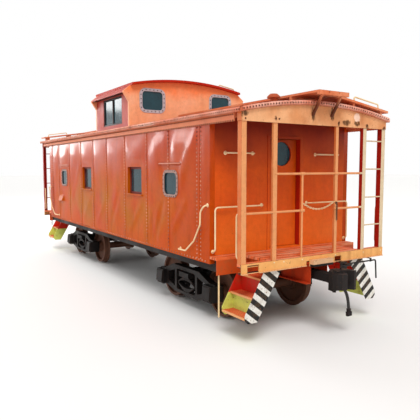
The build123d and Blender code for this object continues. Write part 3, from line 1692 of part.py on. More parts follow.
# Leaf springs: two bowed stacks of leaves that meet at their tips, between frame and bolster
spring_half = 290.0
spring_leaves = 5
spring_low = window_low
spring_high = truck_bolster_end_low
leaf_thickness = 13.0
leaf_width = 100.0
leaf_step = 46.0
spring_camber = (spring_high - spring_low) / 2 - spring_leaves * leaf_thickness
leaf_r = (spring_half**2 + spring_camber**2) / (2 * spring_camber)
with BuildPart() as spring:
    middle_z = (spring_low + spring_high) / 2
    for index in range(spring_leaves):
        inner_r = leaf_r + index * leaf_thickness
        outer_r = inner_r + leaf_thickness
        center_z = spring_low + spring_leaves * leaf_thickness + leaf_r
        span = spring_half - index * leaf_step
        with BuildSketch(Plane.XZ.offset(-journal_center - leaf_width / 2)):
            with BuildLine():
                inner_drop = math.sqrt(inner_r**2 - span**2)
                outer_drop = math.sqrt(outer_r**2 - span**2)
                upper = ThreePointArc(
                    (-span, center_z - inner_drop), (0, center_z - inner_r), (span, center_z - inner_drop)
                )
                lower = ThreePointArc(
                    (-span, center_z - outer_drop), (0, center_z - outer_r), (span, center_z - outer_drop)
                )
                Line(upper @ 0, lower @ 0)
                Line(upper @ 1, lower @ 1)
            make_face()
        extrude(amount=leaf_width)
    mirror(about=Plane.XY.offset(middle_z))
spring_pair = [spring.part, spring.part.mirror(Plane.XZ)]

# Brake beams: a beam across each truck before each axle, with its shoes, and a rod between the two
beam_x = 350.0
beam_z = 400.0
beam_reach = frame_in
beam_depth = 60.0
beam_thickness = 30.0
beam_low = beam_z - beam_depth / 2
shoe_gap = 12.0
shoe_thickness = 44.0
shoe_width = 90.0
shoe_angle = 24.0
shoe_shift = 18.0
wheel_center_y = back_to_back / 2 + rim_width / 2
face_r = tread_r + flange_height / 2 + shoe_gap
back_r = face_r + shoe_thickness
head_lap = 10.0
head_sink = 12.0
head_half_width = 30.0
head_half_height = 50.0
brake_rod_half_width = 30.0
brake_rod_half_height = 16.0
with BuildPart() as brake_beam:
    beam_back = beam_x - beam_thickness
    add(block(beam_back, beam_x, -beam_reach, beam_reach, beam_low, beam_low + beam_depth))
    for side in (-1, 1):
        shoe_y = side * (wheel_center_y + shoe_shift)
        with BuildSketch(Plane.XZ.offset(-shoe_y - shoe_width / 2)):
            with BuildLine():
                face = CenterArc((half_base, axle_z), face_r, 180.0 - shoe_angle, 2 * shoe_angle)
                back = CenterArc((half_base, axle_z), back_r, 180.0 - shoe_angle, 2 * shoe_angle)
                Line(face @ 0, back @ 0)
                Line(face @ 1, back @ 1)
            make_face()
        extrude(amount=shoe_width)
        head_from = beam_x - head_lap
        head_to = half_base - back_r + head_sink
        y_from = shoe_y - head_half_width
        y_to = shoe_y + head_half_width
        head_low = beam_z - head_half_height
        add(block(head_from, head_to, y_from, y_to, head_low, head_low + 2 * head_half_height))
    rod_half = brake_rod_half_width
    rod_low = beam_z - brake_rod_half_height
    add(block(0, beam_x, -rod_half, rod_half, rod_low, rod_low + 2 * brake_rod_half_height))

# Columns: truck name, middle x
trucks = [("a", truck_center), ("b", -truck_center)]
for end, x in trucks:
    with BuildPart() as side_frames:
        for piece in side_frame_pair:
            add(piece.translate((x, 0, 0)))
    side_frames.part.label = f"side_frames_{end}"
    export_step(side_frames.part, f"parts/side_frames_{end}.step")
    with BuildPart() as bolster_copy:
        add(truck_bolster.part.translate((x, 0, 0)))
    bolster_copy.part.label = f"truck_bolster_{end}"
    export_step(bolster_copy.part, f"parts/truck_bolster_{end}.step")
    with BuildPart() as springs:
        for piece in spring_pair:
            add(piece.translate((x, 0, 0)))
    springs.part.label = f"leaf_springs_{end}"
    export_step(springs.part, f"parts/leaf_springs_{end}.step")
    with BuildPart() as beams:
        for piece in at_both_ends(brake_beam.part):
            add(piece.translate((x, 0, 0)))
    beams.part.label = f"brake_beams_{end}"
    export_step(beams.part, f"parts/brake_beams_{end}.step")

# Axles and wheels: turned axles with a journal at each end, and cast wheels pressed on them
axle_r = 82.0
seat_r = 89.0
seat_from = 655.0
journal_from = journal_center - journal_length / 2
journal_to = journal_center + journal_length / 2
hub_r = 135.0
hub_from = 665.0
hub_to = 845.0
plate_inner = 752.0
plate_outer = 738.0
plate_half = 13.0
rim_inner_r = 360.0
flange_width = 32.0
tread_fall = 5.0
rim_from = back_to_back / 2
rim_to = rim_from + rim_width
wheel_profile = [
    (seat_r, hub_from),
    (hub_r, hub_from),
    (hub_r + 12.0, plate_inner - plate_half),
    (rim_inner_r, plate_outer - plate_half),
    (rim_inner_r + 6.0, rim_from),
    (tread_r + flange_height - 8.0, rim_from),
    (tread_r + flange_height, rim_from + 9.0),
    (tread_r + flange_height, rim_from + flange_width - 14.0),
    (tread_r, rim_from + flange_width + 8.0),
    (tread_r - tread_fall, rim_to - 5.0),
    (tread_r - tread_fall - 5.0, rim_to),
    (rim_inner_r + 6.0, rim_to),
    (rim_inner_r, plate_outer + plate_half),
    (hub_r + 12.0, plate_inner + plate_half),
    (hub_r, hub_to),
    (seat_r, hub_to),
]
axle_profile = [
    (0, 0),
    (axle_r, 0),
    (axle_r, seat_from - 20.0),
    (seat_r, seat_from),
    (seat_r, hub_to + 6.0),
    (journal_r, journal_from),
    (journal_r, journal_to),
    (0, journal_to),
]
# Columns: axle name, middle x
axles = [
    ("a1", truck_center + half_base),
    ("a2", truck_center - half_base),
    ("b1", -truck_center - half_base),
    ("b2", -truck_center + half_base),
]
for name, x in axles:
    center_line = Axis((x, 0, axle_z), (0, 1, 0))
    turning_plane = Plane(origin=(x, 0, axle_z), x_dir=(1, 0, 0), z_dir=(0, 0, 1))
    with BuildPart() as axle:
        with BuildSketch(turning_plane):
            with BuildLine():
                Polyline(*axle_profile, close=True)
            make_face()
        revolve(axis=center_line)
        mirror(about=Plane.XZ)
    axle.part.label = f"axle_{name}"
    export_step(axle.part, f"parts/axle_{name}.step")
    with BuildPart() as wheels:
        with BuildSketch(turning_plane):
            with BuildLine():
                Polyline(*wheel_profile, close=True)
            make_face()
        revolve(axis=center_line)
        mirror(about=Plane.XZ)
    wheels.part.label = f"wheels_{name}"
    export_step(wheels.part, f"parts/wheels_{name}.step")
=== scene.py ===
import math

import bmesh
import bpy
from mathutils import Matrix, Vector


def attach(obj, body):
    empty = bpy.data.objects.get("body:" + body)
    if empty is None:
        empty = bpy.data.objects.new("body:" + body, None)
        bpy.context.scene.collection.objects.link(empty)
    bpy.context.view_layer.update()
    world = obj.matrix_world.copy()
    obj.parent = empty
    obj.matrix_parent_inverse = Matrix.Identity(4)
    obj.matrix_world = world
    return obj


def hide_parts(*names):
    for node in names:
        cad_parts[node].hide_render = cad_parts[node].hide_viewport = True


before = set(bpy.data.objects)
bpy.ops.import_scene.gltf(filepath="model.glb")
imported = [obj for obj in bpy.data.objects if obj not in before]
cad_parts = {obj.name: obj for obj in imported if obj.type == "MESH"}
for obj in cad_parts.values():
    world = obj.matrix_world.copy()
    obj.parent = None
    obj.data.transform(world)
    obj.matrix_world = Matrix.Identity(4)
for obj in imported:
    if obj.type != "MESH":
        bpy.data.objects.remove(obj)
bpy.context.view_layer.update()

# Camera at the photograph's place, found with the car's proportions.
# Square frame, seen from end a and from the -Y side, a little downwards.
camera_place = Vector((10.492, -5.367, 2.509))
camera_yaw = math.radians(32.603)
camera_pitch = math.radians(4.858)
camera_lens = 42.495
camera_sensor = 36.0
camera_reach = 400.0
look = Vector((
    -math.cos(camera_yaw) * math.cos(camera_pitch),
    math.sin(camera_yaw) * math.cos(camera_pitch),
    -math.sin(camera_pitch),
))


def put(name, data):
    """Makes an object from its data and puts it in the scene."""
    made = bpy.data.objects.new(name, data)
    bpy.context.scene.collection.objects.link(made)
    return made


camera_data = bpy.data.cameras.new("camera")
camera_data.lens = camera_lens
camera_data.sensor_width = camera_sensor
camera_data.clip_end = camera_reach
camera = put("camera", camera_data)
camera.location = camera_place
camera.rotation_euler = look.to_track_quat("-Z", "Y").to_euler()
bpy.context.scene.camera = camera
bpy.context.scene.view_settings.view_transform = "Standard"

# Air brake hoses: moulded rubber with a fabric ply, clamped on the angle cock at each end.
# They hang by their own weight from the cock to the glad hand. The rubber is dull, with dust in it.
hose_start = Vector((5.190, 0.300, 0.752))
hose_diameter = 0.046
# Columns: x, y, z from the cock
hose_points = [
    (0.0, 0.0, 0.0),
    (0.110, 0.0, 0.0),
    (0.215, 0.016, -0.092),
    (0.262, 0.024, -0.220),
    (0.270, 0.028, -0.352),
]


def linear(code):
    """An sRGB hex value as a linear colour."""
    parts = [int(code[i:i + 2], 16) / 255 for i in (1, 3, 5)]
    return [p / 12.92 if p <= 0.04045 else ((p + 0.055) / 1.055) ** 2.4 for p in parts] + [1.0]


def add(tree, kind, *inputs, **settings):
    """Adds a node with its settings, and sets or links its inputs in order, apart from those given as None.

    A hex value becomes a linear colour. Returns the first output in use.
    """
    node = tree.nodes.new("ShaderNode" + kind)
    for name, value in settings.items():
        setattr(node, name, value)
    for socket, value in zip([s for s in node.inputs if s.enabled], inputs):
        if isinstance(value, bpy.types.NodeSocket):
            tree.links.new(value, socket)
        elif value is not None:
            socket.default_value = linear(value) if isinstance(value, str) else value
    live = [s for s in node.outputs if s.enabled]
    return live[0] if live else node


def finish_with(name, surface):
    """A material with a Principled shader, made by a function that is given the tree and the shader."""
    material = bpy.data.materials.new(name)
    material.use_nodes = True
    tree = material.node_tree
    tree.nodes.clear()
    shader = add(tree, "BsdfPrincipled").node
    add(tree, "OutputMaterial", shader.outputs[0])
    surface(tree, shader)
    return material


def hose_rubber(tree, shader):
    """Black rubber: soft shine, and dust in specks of 16 mm and less."""
    place = add(tree, "TexCoord").node.outputs["Object"]
    dust = add(tree, "TexNoise", place, 60.0, 6.0)
    colour = add(tree, "Mix", dust, "#141312", "#2b2826", data_type="RGBA")
    tree.links.new(colour, shader.inputs["Base Color"])
    shader.inputs["Roughness"].default_value = 0.62
    shader.inputs["IOR"].default_value = 1.52
    bump = add(tree, "Bump", 0.25, 0.001, None, dust)
    tree.links.new(bump, shader.inputs["Normal"])


hose_material = finish_with("moulded_hose_rubber", hose_rubber)
for end, turn in (("a", 1), ("b", -1)):
    curve = bpy.data.curves.new(f"hose_{end}", "CURVE")
    curve.dimensions = "3D"
    curve.bevel_depth = hose_diameter / 2
    curve.bevel_resolution = 6
    curve.resolution_u = 24
    curve.use_fill_caps = True
    spline = curve.splines.new("NURBS")
    spline.points.add(len(hose_points) - 1)
    for point, (x, y, z) in zip(spline.points, hose_points):
        point.co = (turn * (hose_start.x + x), turn * (hose_start.y + y), hose_start.z + z, 1.0)
    spline.order_u = 3
    spline.use_endpoint_u = True
    hose = put(f"hose_{end}", curve)
    curve.materials.append(hose_material)
    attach(hose, "car")
    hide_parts(f"air_hose_{end}")

# Studio: a plain pale floor, a white background, one large soft key lamp and an even sky.
# The background is white to the camera and in reflections only, so it adds no light to the object.
# Two softboxes past end b show in the glossy sheets and in the cupola's panes as a pale sky.
sky_light = 0.64
key_light = 1.95
key_spread = math.radians(24.0)
key_turn = (math.radians(38.0), math.radians(16.0), math.radians(38.0))
softbox_aim = Vector((0.0, 0.0, 2.5))
# Columns: name, middle, width, height, radiance
softboxes = [
    ("low_softbox", Vector((-30.0, -5.2, 10.6)), 12.4, 14.0, 6.2),
    ("high_softbox", Vector((-30.0, -16.5, 12.5)), 8.5, 10.0, 6.0),
]
floor_reach = 160.0
world = bpy.data.worlds.new("studio")
world.use_nodes = True
tree = world.node_tree
tree.nodes.clear()
rays = add(tree, "LightPath").node.outputs
seen = add(tree, "Math", rays["Is Camera Ray"], rays["Is Glossy Ray"], operation="ADD", use_clamp=True)
seen = add(tree, "Math", seen, rays["Is Transmission Ray"], operation="ADD", use_clamp=True)
strength = add(tree, "MapRange", seen, 0.0, 1.0, sky_light, 1.0)
add(tree, "OutputWorld", add(tree, "Background", "#ffffff", strength))
bpy.context.scene.world = world
key = bpy.data.lights.new("key", "SUN")
key.energy = key_light
key.angle = key_spread
put("key", key).rotation_euler = key_turn
for name, middle, width, height, radiance in softboxes:
    lamp = bpy.data.lights.new(name, "AREA")
    lamp.shape = "RECTANGLE"
    lamp.size = width
    lamp.size_y = height
    lamp.energy = radiance * math.pi * width * height
    softbox = put(name, lamp)
    softbox.location = middle
    softbox.rotation_euler = (softbox_aim - middle).to_track_quat("-Z", "Y").to_euler()


def floor_paint(tree, shader):
    """Matt white floor paint."""
    shader.inputs["Base Color"].default_value = linear("#f1f0ee")
    shader.inputs["Roughness"].default_value = 0.9


floor_mesh = bpy.data.meshes.new("studio_floor")
floor_corners = [(x * floor_reach, y * floor_reach, 0) for x, y in ((-1, -1), (1, -1), (1, 1), (-1, 1))]
floor_mesh.from_pydata(floor_corners, [], [(0, 1, 2, 3)])
floor_mesh.materials.append(finish_with("matt_floor_paint", floor_paint))
put("studio_floor", floor_mesh)

# Side sheets: 2.5 mm steel plates riveted over posts, which buckle a good deal between them.
# Orange-red enamel, still glossy under the eaves, dulled lower down and washed with ochre rust.
seams = [-4.054, -3.409, -2.456, -1.515, -0.641, 0.212, 1.207, 2.222, 3.073, 4.054]
body_end = 4.357
sheet_face = 1.450
side_low = 1.080
side_high = 3.136
seam_flat = 0.022
# The sheet goes from flat to its full wave over these widths, at seams and windows, foot and head
fade_width = 0.12
foot_fade = (0.01, 0.16)
head_fade = 0.10
grid_step = 0.048
frame_gap = 0.01
# Vertices on the rim of an opening are held. Faces outside this band of heights don't count as reveals
reveal_middle = 2.0
reveal_half = 1.1
facing_out = 0.9
face_gap = 0.001
weld_gap = 0.00002
cut_gap = 0.0005
same_plane = math.radians(0.2)
# The crown of each bulge stands under the eaves, and a flatter belly over the side sill
crown_rises = (2.05, 2.80)
crown_below_eaves = 0.34
belly_rises = (1.15, 1.50)
belly_falls = (1.70, 2.10)
belly_share = 0.35
# Columns: middle x, middle z, width, height of the opening with its frame
side_openings = [
    (3.139, 2.248, 0.525, 0.455),
    (1.672, 2.268, 0.700, 0.600),
    (-1.102, 2.268, 0.700, 0.600),
    (-2.910, 2.248, 0.525, 0.455),
]
# Columns: middle x, middle z, half width, half height, depth of each large dent or bulge
side_dents = [
    (3.62, 2.50, 0.30, 0.62, -0.012),
    (3.30, 2.85, 0.16, 0.40, 0.010),
    (2.66, 1.52, 0.20, 0.40, 0.013),
    (3.42, 1.60, 0.36, 0.30, -0.009),
    (2.62, 2.86, 0.24, 0.34, 0.010),
    (1.70, 1.50, 0.40, 0.30, -0.008),
    (1.45, 1.78, 0.30, 0.16, 0.008),
    (0.72, 1.62, 0.34, 0.46, 0.008),
    (0.55, 2.25, 0.22, 0.50, -0.008),
    (-0.25, 1.70, 0.32, 0.44, -0.008),
    (-1.10, 1.52, 0.34, 0.30, 0.008),
    (-2.00, 1.90, 0.30, 0.60, -0.008),
    (-3.75, 2.10, 0.24, 0.70, 0.008),
]
# Creases where a sheet was knocked. Columns: from x and z, to x and z, half width, height
side_creases = [
    (2.88, 1.965, 3.64, 1.93, 0.070, 0.013),
    (3.62, 1.93, 3.14, 1.42, 0.110, 0.017),
    (2.86, 1.92, 2.58, 1.26, 0.110, -0.017),
    (2.36, 1.70, 2.30, 1.22, 0.080, 0.012),
    (2.02, 1.88, 1.42, 1.30, 0.110, 0.014),
    (0.98, 2.10, 0.46, 1.34, 0.130, -0.013),
    (4.00, 3.02, 3.42, 2.30, 0.170, 0.024),
    (0.10, 1.80, -0.40, 1.30, 0.130, 0.012),
    (-0.80, 1.84, -1.35, 1.34, 0.120, 0.011),
    (-1.60, 2.60, -2.30, 1.70, 0.140, 0.010),
]
# Bulge of each panel between two posts, from end b to end a on the right, and the other way on the left
bulge_by_panel = [0.008, 0.016, 0.020, 0.017, 0.022, 0.018, 0.021, 0.019, 0.022, 0.024, 0.006]
# Columns: length of one fold, rise of the folds, lean of their run, start
panel_folds = [(0.92, 0.0030, 0.55, 0.4), (0.61, 0.0020, -0.80, 2.1)]


def soft_step(value, low, high):
    """Rises smoothly from 0 at low to 1 at high."""
    share = min(1.0, max(0.0, (value - low) / (high - low)))
    return share * share * (3.0 - 2.0 * share)


def sheet_wave(x, z, flip):
    """How far a side sheet stands out from flat at a place. flip is -1 on the right and 1 on the left."""
    fade = soft_step(z - side_low, *foot_fade) * soft_step(side_high - z, 0.0, head_fade)
    for middle_x, middle_z, width, height in side_openings:
        gap = max(abs(x - middle_x) - width / 2, abs(z - middle_z) - height / 2)
        fade *= soft_step(gap, frame_gap, fade_width)
    edges = [-body_end] + seams + [body_end]
    index = max(i for i, edge in enumerate(edges[:-1]) if x >= edge or i == 0)
    span = edges[index + 1] - edges[index]
    share = (x - edges[index]) / span
    off = min(x - edges[index], edges[index + 1] - x)
    seam_fade = soft_step(off, seam_flat, seam_flat + fade_width)
    crown = soft_step(z, *crown_rises) * soft_step(side_high - z, 0.0, crown_below_eaves)
    belly = soft_step(z, *belly_rises) * (1.0 - soft_step(z, *belly_falls))
    turned = index if flip < 0 else len(bulge_by_panel) - 1 - index
    bulge = bulge_by_panel[turned] * math.sin(math.pi * share)
    # The belly goes in or out from panel to panel, and the folds start at another place in each
    wave = bulge * (crown + belly_share * belly * math.cos(2.4 * index + flip))
    for length, rise, slope, start in panel_folds:
        run = (x * math.cos(slope) + flip * z * math.sin(slope)) / length
        wave += rise * math.sin(2 * math.pi * run + start + 1.7 * index)
    for middle_x, middle_z, half_x, half_z, depth in side_dents:
        away = math.hypot((x + flip * middle_x) / half_x, (z - middle_z) / half_z)
        wave += depth * (1.0 - soft_step(away, 0.0, 1.0))
    spot = Vector((-flip * x, z))
    for from_x, from_z, to_x, to_z, half, height in side_creases:
        start, stop = Vector((from_x, from_z)), Vector((to_x, to_z))
        share = min(1.0, max(0.0, (spot - start).dot(stop - start) / (stop - start).length_squared))
        away = (spot - start.lerp(stop, share)).length / half
        wave += height * (1.0 - soft_step(away, 0.0, 1.0)) * (0.55 + 0.45 * math.sin(math.pi * share))
    return wave * fade * seam_fade


def from_node(node):
    """A joined-up copy of a CAD node's mesh, to be worked into a visible piece."""
    bm = bmesh.new()
    bm.from_mesh(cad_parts[node].data)
    bmesh.ops.remove_doubles(bm, verts=bm.verts, dist=weld_gap)
    for edge in bm.edges:
        edge.smooth = True
    return bm


def place_piece(name, bm, body, material):
    """Makes an object from a bmesh, and gives it its body, slot and material."""
    mesh = bpy.data.meshes.new(name)
    bm.to_mesh(mesh)
    bm.free()
    made = put(name, mesh)
    mesh.materials.append(material)
    for polygon in mesh.polygons:
        polygon.use_smooth = True
    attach(made, body)
    return made


def sharpen(made, degrees=32.0):
    """Keeps edges sharper than an angle crisp on a smooth-shaded piece."""
    bm = bmesh.new()
    bm.from_mesh(made.data)
    for edge in bm.edges:
        if len(edge.link_faces) == 2 and edge.calc_face_angle(0.0) > math.radians(degrees):
            edge.smooth = False
    bm.to_mesh(made.data)
    bm.free()


def patches(tree, place, scale, start, full, most=1.0, detail=3.0, grain=0.5, stretch=None):
    """Cloudy patches of a stain, from the level where they start to the level where they are full.

    stretch draws them out along the axes where the stain ran.
    """
    if stretch:
        place = add(tree, "VectorMath", place, stretch, operation="MULTIPLY")
    cloud = add(tree, "TexNoise", place, scale, detail, grain)
    return add(tree, "MapRange", cloud, start, full, 0.0, most)


def ragged(tree, place, level, scale, reach):
    """A height or distance that wavers in clouds, so that the edge of a stain there is ragged."""
    cloud = add(tree, "TexNoise", place, scale, 3.0, 0.5)
    waver = add(tree, "MapRange", cloud, 0.0, 1.0, -reach, reach)
    return add(tree, "Math", level, waver, operation="ADD")


def weathered_enamel(name, coat, faded, stain, rust, gloss=0.40, dull=0.62, streaks=0.5, wear=0.5,
                     weather=None, mirror=0.15, kept=None):
    """Enamel on steel left outdoors: broad fading, rain streaks, chips down to rust, and worn edges."""

    def surface(tree, shader):
        place = add(tree, "TexCoord").node.outputs["Object"]
        # Fading in clouds about 0.6 m across
        cloud = patches(tree, place, 1.7, 0.36, 0.66, 1.0, 5.0, 0.6)
        colour = add(tree, "Mix", cloud, coat, faded, data_type="RGBA")
        rough = add(tree, "MapRange", cloud, 0.0, 1.0, gloss, dull)
        if weather:
            colour, rough = weather(tree, place, colour, rough)
        # Rain streaks, broken up, 60 to 150 mm wide and drawn out downwards, in some places only
        streak = patches(tree, place, 1.0, 0.50, 0.74, streaks, 6.0, 0.62, (8.5, 8.5, 0.8))
        where = patches(tree, place, 2.1, 0.42, 0.62, 1.0, 2.0)
        streak = add(tree, "Math", streak, where, operation="MULTIPLY")
        colour = add(tree, "Mix", streak, colour, stain, data_type="RGBA")
        # Chips 4 to 15 mm across, gathered in patches
        fine = add(tree, "TexNoise", place, 42.0, 7.0, 0.62)
        level = add(tree, "Math", fine, patches(tree, place, 4.5, 0.45, 0.75, 0.11), operation="ADD")
        chip = add(tree, "MapRange", level, 0.735 - 0.05 * wear, 0.765 - 0.05 * wear, 0.0, 0.85)
        # Worn edges, within about 6 mm of the corner, broken up by the same grain
        round_edge = add(tree, "Bevel", 0.006, samples=4)
        flat = add(tree, "NewGeometry").node.outputs["Normal"]
        turned = add(tree, "VectorMath", round_edge, flat, operation="DOT_PRODUCT")
        edge = add(tree, "MapRange", turned, 0.995, 0.90, 0.0, 0.30 * wear)
        edge = add(tree, "MapRange", add(tree, "Math", edge, fine, operation="ADD"), 0.66, 0.76, 0.0, 0.8)
        bare = add(tree, "Math", chip, edge, operation="MAXIMUM")
        colour = add(tree, "Mix", bare, colour, rust, data_type="RGBA")
        # Uneven tone: the hand brush's mottle, about 80 mm across, and dirt in specks of 6 mm and less
        mottle = add(tree, "TexNoise", place, 13.0, 5.0, 0.6)
        grit = add(tree, "TexNoise", place, 180.0, 2.0)
        tone = add(tree, "MapRange", add(tree, "Math", mottle, grit, operation="ADD"), 0.6, 1.4, 0.86, 1.13)
        colour = add(tree, "VectorMath", colour, tone, operation="SCALE")
        tree.links.new(colour, shader.inputs["Base Color"])
        tree.links.new(add(tree, "Math", rough, bare, operation="MAXIMUM"), shader.inputs["Roughness"])
        shader.inputs["IOR"].default_value = 1.5
        # Chalked paint is porous at its skin, so it mirrors less than new enamel
        shader.inputs["Specular IOR Level"].default_value = mirror
        if kept:
            # Where rain keeps the coat clean its skin is still whole, and mirrors the sky
            sound = add(tree, "MapRange", bare, 1.0, 0.0)
            skin = add(tree, "Math", kept(tree, place), sound, operation="MULTIPLY")
            tree.links.new(skin, shader.inputs["Coat Weight"])
            shader.inputs["Coat Roughness"].default_value = 0.14
        # Orange peel of the brushed coat, drawn 11 mm across so that it shows, with the chips sunk into it
        peel = add(tree, "TexNoise", place, 90.0, 3.0)
        height = add(tree, "Math", bare, -0.8, peel, operation="MULTIPLY_ADD")
        bump = add(tree, "Bump", 0.22, 0.0015, None, height, round_edge)
        tree.links.new(bump, shader.inputs["Normal"])

    return finish_with(name, surface)


def side_weather(tree, place, colour, rough):
    """Rosy under the eaves, ochre rust wash below the windows, redder at the ends and the bottom edge."""
    axes = add(tree, "SeparateXYZ", place).node.outputs
    reach = add(tree, "Math", axes["X"], operation="ABSOLUTE")
    level = ragged(tree, place, axes["Z"], 2.3, 0.55)
    rosy = add(tree, "MapRange", level, 2.1, 2.9, 0.0, 0.5)
    colour = add(tree, "Mix", rosy, colour, "#a62e0c", data_type="RGBA")
    # Rust wash that ran down from the window ledges and the rivets, thinner towards the ends
    wash = add(tree, "MapRange", level, 2.60, 1.75)
    blot = patches(tree, place, 1.3, 0.42, 0.60, 0.9, 4.0, 0.55, (1.0, 1.0, 0.6))
    wash = add(tree, "Math", wash, blot, operation="MULTIPLY")
    thin = add(tree, "MapRange", reach, 2.6, 4.0, 1.0, 0.15)
    wash = add(tree, "Math", wash, thin, operation="MULTIPLY")
    colour = add(tree, "Mix", wash, colour, "#ac5f04", data_type="RGBA")
    low = add(tree, "MapRange", level, 1.50, 1.05, 0.0, 0.7)
    colour = add(tree, "Mix", low, colour, "#c24c02", data_type="RGBA")
    corner = add(tree, "MapRange", reach, 3.30, 4.10, 0.0, 0.5)
    colour = add(tree, "Mix", corner, colour, "#b23c04", data_type="RGBA")
    # The bottom is dulled by dust
    dust = add(tree, "MapRange", level, 1.6, 2.6, 0.12, -0.04)
    return colour, add(tree, "Math", rough, dust, operation="ADD")


def rained_skin(tree, place):
    """The coat is whole under the eaves, and chalked off in clouds further down."""
    height = add(tree, "SeparateXYZ", place).node.outputs["Z"]
    return add(tree, "MapRange", ragged(tree, place, height, 1.6, 0.7), 2.35, 3.00, 0.09, 0.55)


def is_outer(face, side):
    """Whether a face lies on the outside of a side wall."""
    return side * face.calc_center_median().y > sheet_face - face_gap and abs(face.normal.y) > facing_out


side_enamel = weathered_enamel(
    "glossy_side_enamel", "#b84000", "#c05004", "#6c3008", "#44220f",
    gloss=0.36, dull=0.50, streaks=0.45, wear=0.10, weather=side_weather, mirror=0.05, kept=rained_skin)
for side, node in ((-1, "side_wall_right"), (1, "side_wall_left")):
    bm = from_node(node)
    bmesh.ops.dissolve_limit(bm, angle_limit=same_plane, verts=bm.verts, edges=bm.edges)
    # The outside is cut on a grid, so that it can bend
    for axis, low, high in ((0, -body_end, body_end), (2, side_low, side_high)):
        count = int((high - low) / grid_step)
        for index in range(1, count):
            spot = Vector((0, 0, 0))
            spot[axis] = low + (high - low) * index / count
            normal = Vector((0, 0, 0))
            normal[axis] = 1.0
            outer = [face for face in bm.faces if is_outer(face, side)]
            geometry = set(outer)
            for face in outer:
                geometry.update(face.edges)
                geometry.update(face.verts)
            bmesh.ops.bisect_plane(bm, geom=list(geometry), plane_co=spot, plane_no=normal, dist=cut_gap)
    for vert in bm.verts:
        beside = [f for f in vert.link_faces if abs(f.calc_center_median().z - reveal_middle) < reveal_half]
        outside = side * vert.co.y > sheet_face - face_gap
        if outside and all(abs(face.normal.y) > facing_out for face in beside):
            vert.co.y += side * sheet_wave(vert.co.x, vert.co.z, side)
    sheet_name = "side_sheets_left" if side > 0 else "side_sheets_right"
    sheet = place_piece(sheet_name, bm, "car", side_enamel)
    sharpen(sheet)
    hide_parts(node)

# Rivets of the side sheets: domed heads in one row down each seam, and in two rows at the body's corners.
# They stand on the laps and were painted over with the sheets. They are dark brown, and pale painted
# highlights cover them in clouds about 0.6 m across.
# Real heads are about 20 mm wide and these are 29 mm, so that the rows show in the render.
rivet_r = 0.0145
rivet_rise = 0.011
rivet_pitch = 0.062
lap_rise = 0.005
corner_seam = 4.0
corner_rows = (-0.055, 0.055)
row_foot = side_low + 0.05
row_head = side_high - 0.02
opening_gap = 0.01
bottom_row_z = side_low + 0.032
bottom_row_end = 4.31
bottom_row_pitch = 0.090
# Columns: share of the head's radius, and of its height, from the foot up
dome_rings = [(1.0, 0.0), (0.86, 0.62), (0.45, 0.95)]


def rivet_dome(bm, center, normal, radius, height, sides=8):
    """One low rivet or bolt head, standing on a face."""
    normal = Vector(normal).normalized()
    across = normal.orthogonal().normalized()
    up = normal.cross(across)
    rings = []
    for scale, rise in dome_rings:
        ring = []
        for index in range(sides):
            angle = 2 * math.pi * index / sides
            spot = across * math.cos(angle) + up * math.sin(angle)
            ring.append(bm.verts.new(Vector(center) + spot * radius * scale + normal * height * rise))
        rings.append(ring)
    for low, high in zip(rings, rings[1:]):
        for index in range(sides):
            after = (index + 1) % sides
            bm.faces.new((low[index], low[after], high[after], high[index]))
    bm.faces.new(rings[-1])


def row(start, stop, pitch):
    """Places in a row, one pitch apart."""
    places = []
    while start < stop:
        places.append(start)
        start += pitch
    return places


def in_opening(x, z):
    """Whether a place on a side lies in one of its openings."""
    return any(
        abs(x - middle_x) < width / 2 + opening_gap and abs(z - middle_z) < height / 2 + opening_gap
        for middle_x, middle_z, width, height in side_openings)


# The pale second colour, mixed in by clouds, is a painted highlight on the heads
rivet_enamel_and_highlights = weathered_enamel(
    "brushed_over_rivet_enamel_and_highlights", "#641c04", "#dc9474", "#4c200c", "#30180e", gloss=0.40, dull=0.6, wear=0.9)
bm = bmesh.new()
for side in (-1, 1):
    out = (0, side, 0)
    for x in seams:
        offsets, proud = (corner_rows, 0.0) if abs(x) > corner_seam else ((0.0,), lap_rise)
        for z in row(row_foot, row_head, rivet_pitch):
            if in_opening(x, z):
                continue
            for offset in offsets:
                rivet_dome(bm, (x + offset, side * (sheet_face + proud), z), out, rivet_r, rivet_rise)
    for x in row(-bottom_row_end, bottom_row_end, bottom_row_pitch):
        rivet_dome(bm, (x, side * sheet_face, bottom_row_z), out, rivet_r, rivet_rise)
place_piece("side_rivets", bm, "car", rivet_enamel_and_highlights)

# Letterboards and end boards under the eaves: pale faded strips of bent plate with rivet rows.
# The end boards have rust runs from the holes at their middle and corners, and one patch of filler.
board_face = 1.462
board_rivet_rise = 0.008
# Columns: height of the row, pitch, radius of the heads
board_rows = [(3.146, 0.058, 0.0140), (3.228, 0.047, 0.0120)]
board_row_ends = (-4.96, 4.97)
end_board_x = 5.135
# Columns: middle y, half width, middle z, half height, how thick the rust stands
rust_blots = [
    (0.53, 0.13, 3.19, 0.06, 0.44),
    (0.76, 0.09, 3.20, 0.06, 0.44),
    (-0.17, 0.05, 3.29, 0.15, 0.40),
    (0.22, 0.05, 3.31, 0.16, 0.40),
    (-1.42, 0.08, 3.24, 0.07, 0.44),
    (-0.88, 0.03, 3.19, 0.05, 0.36),
    (0.99, 0.05, 3.16, 0.06, 0.40),
    (1.40, 0.05, 3.13, 0.05, 0.38),
    (0.36, 0.03, 3.17, 0.06, 0.36),
]
filler_middle = (5.150, 0.752, 3.285)
filler_edge = 0.075
filler_core = 0.050


def coat_nodes(material, *names):
    """Gives CAD nodes one material."""
    for name in names:
        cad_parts[name].data.materials.clear()
        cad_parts[name].data.materials.append(material)


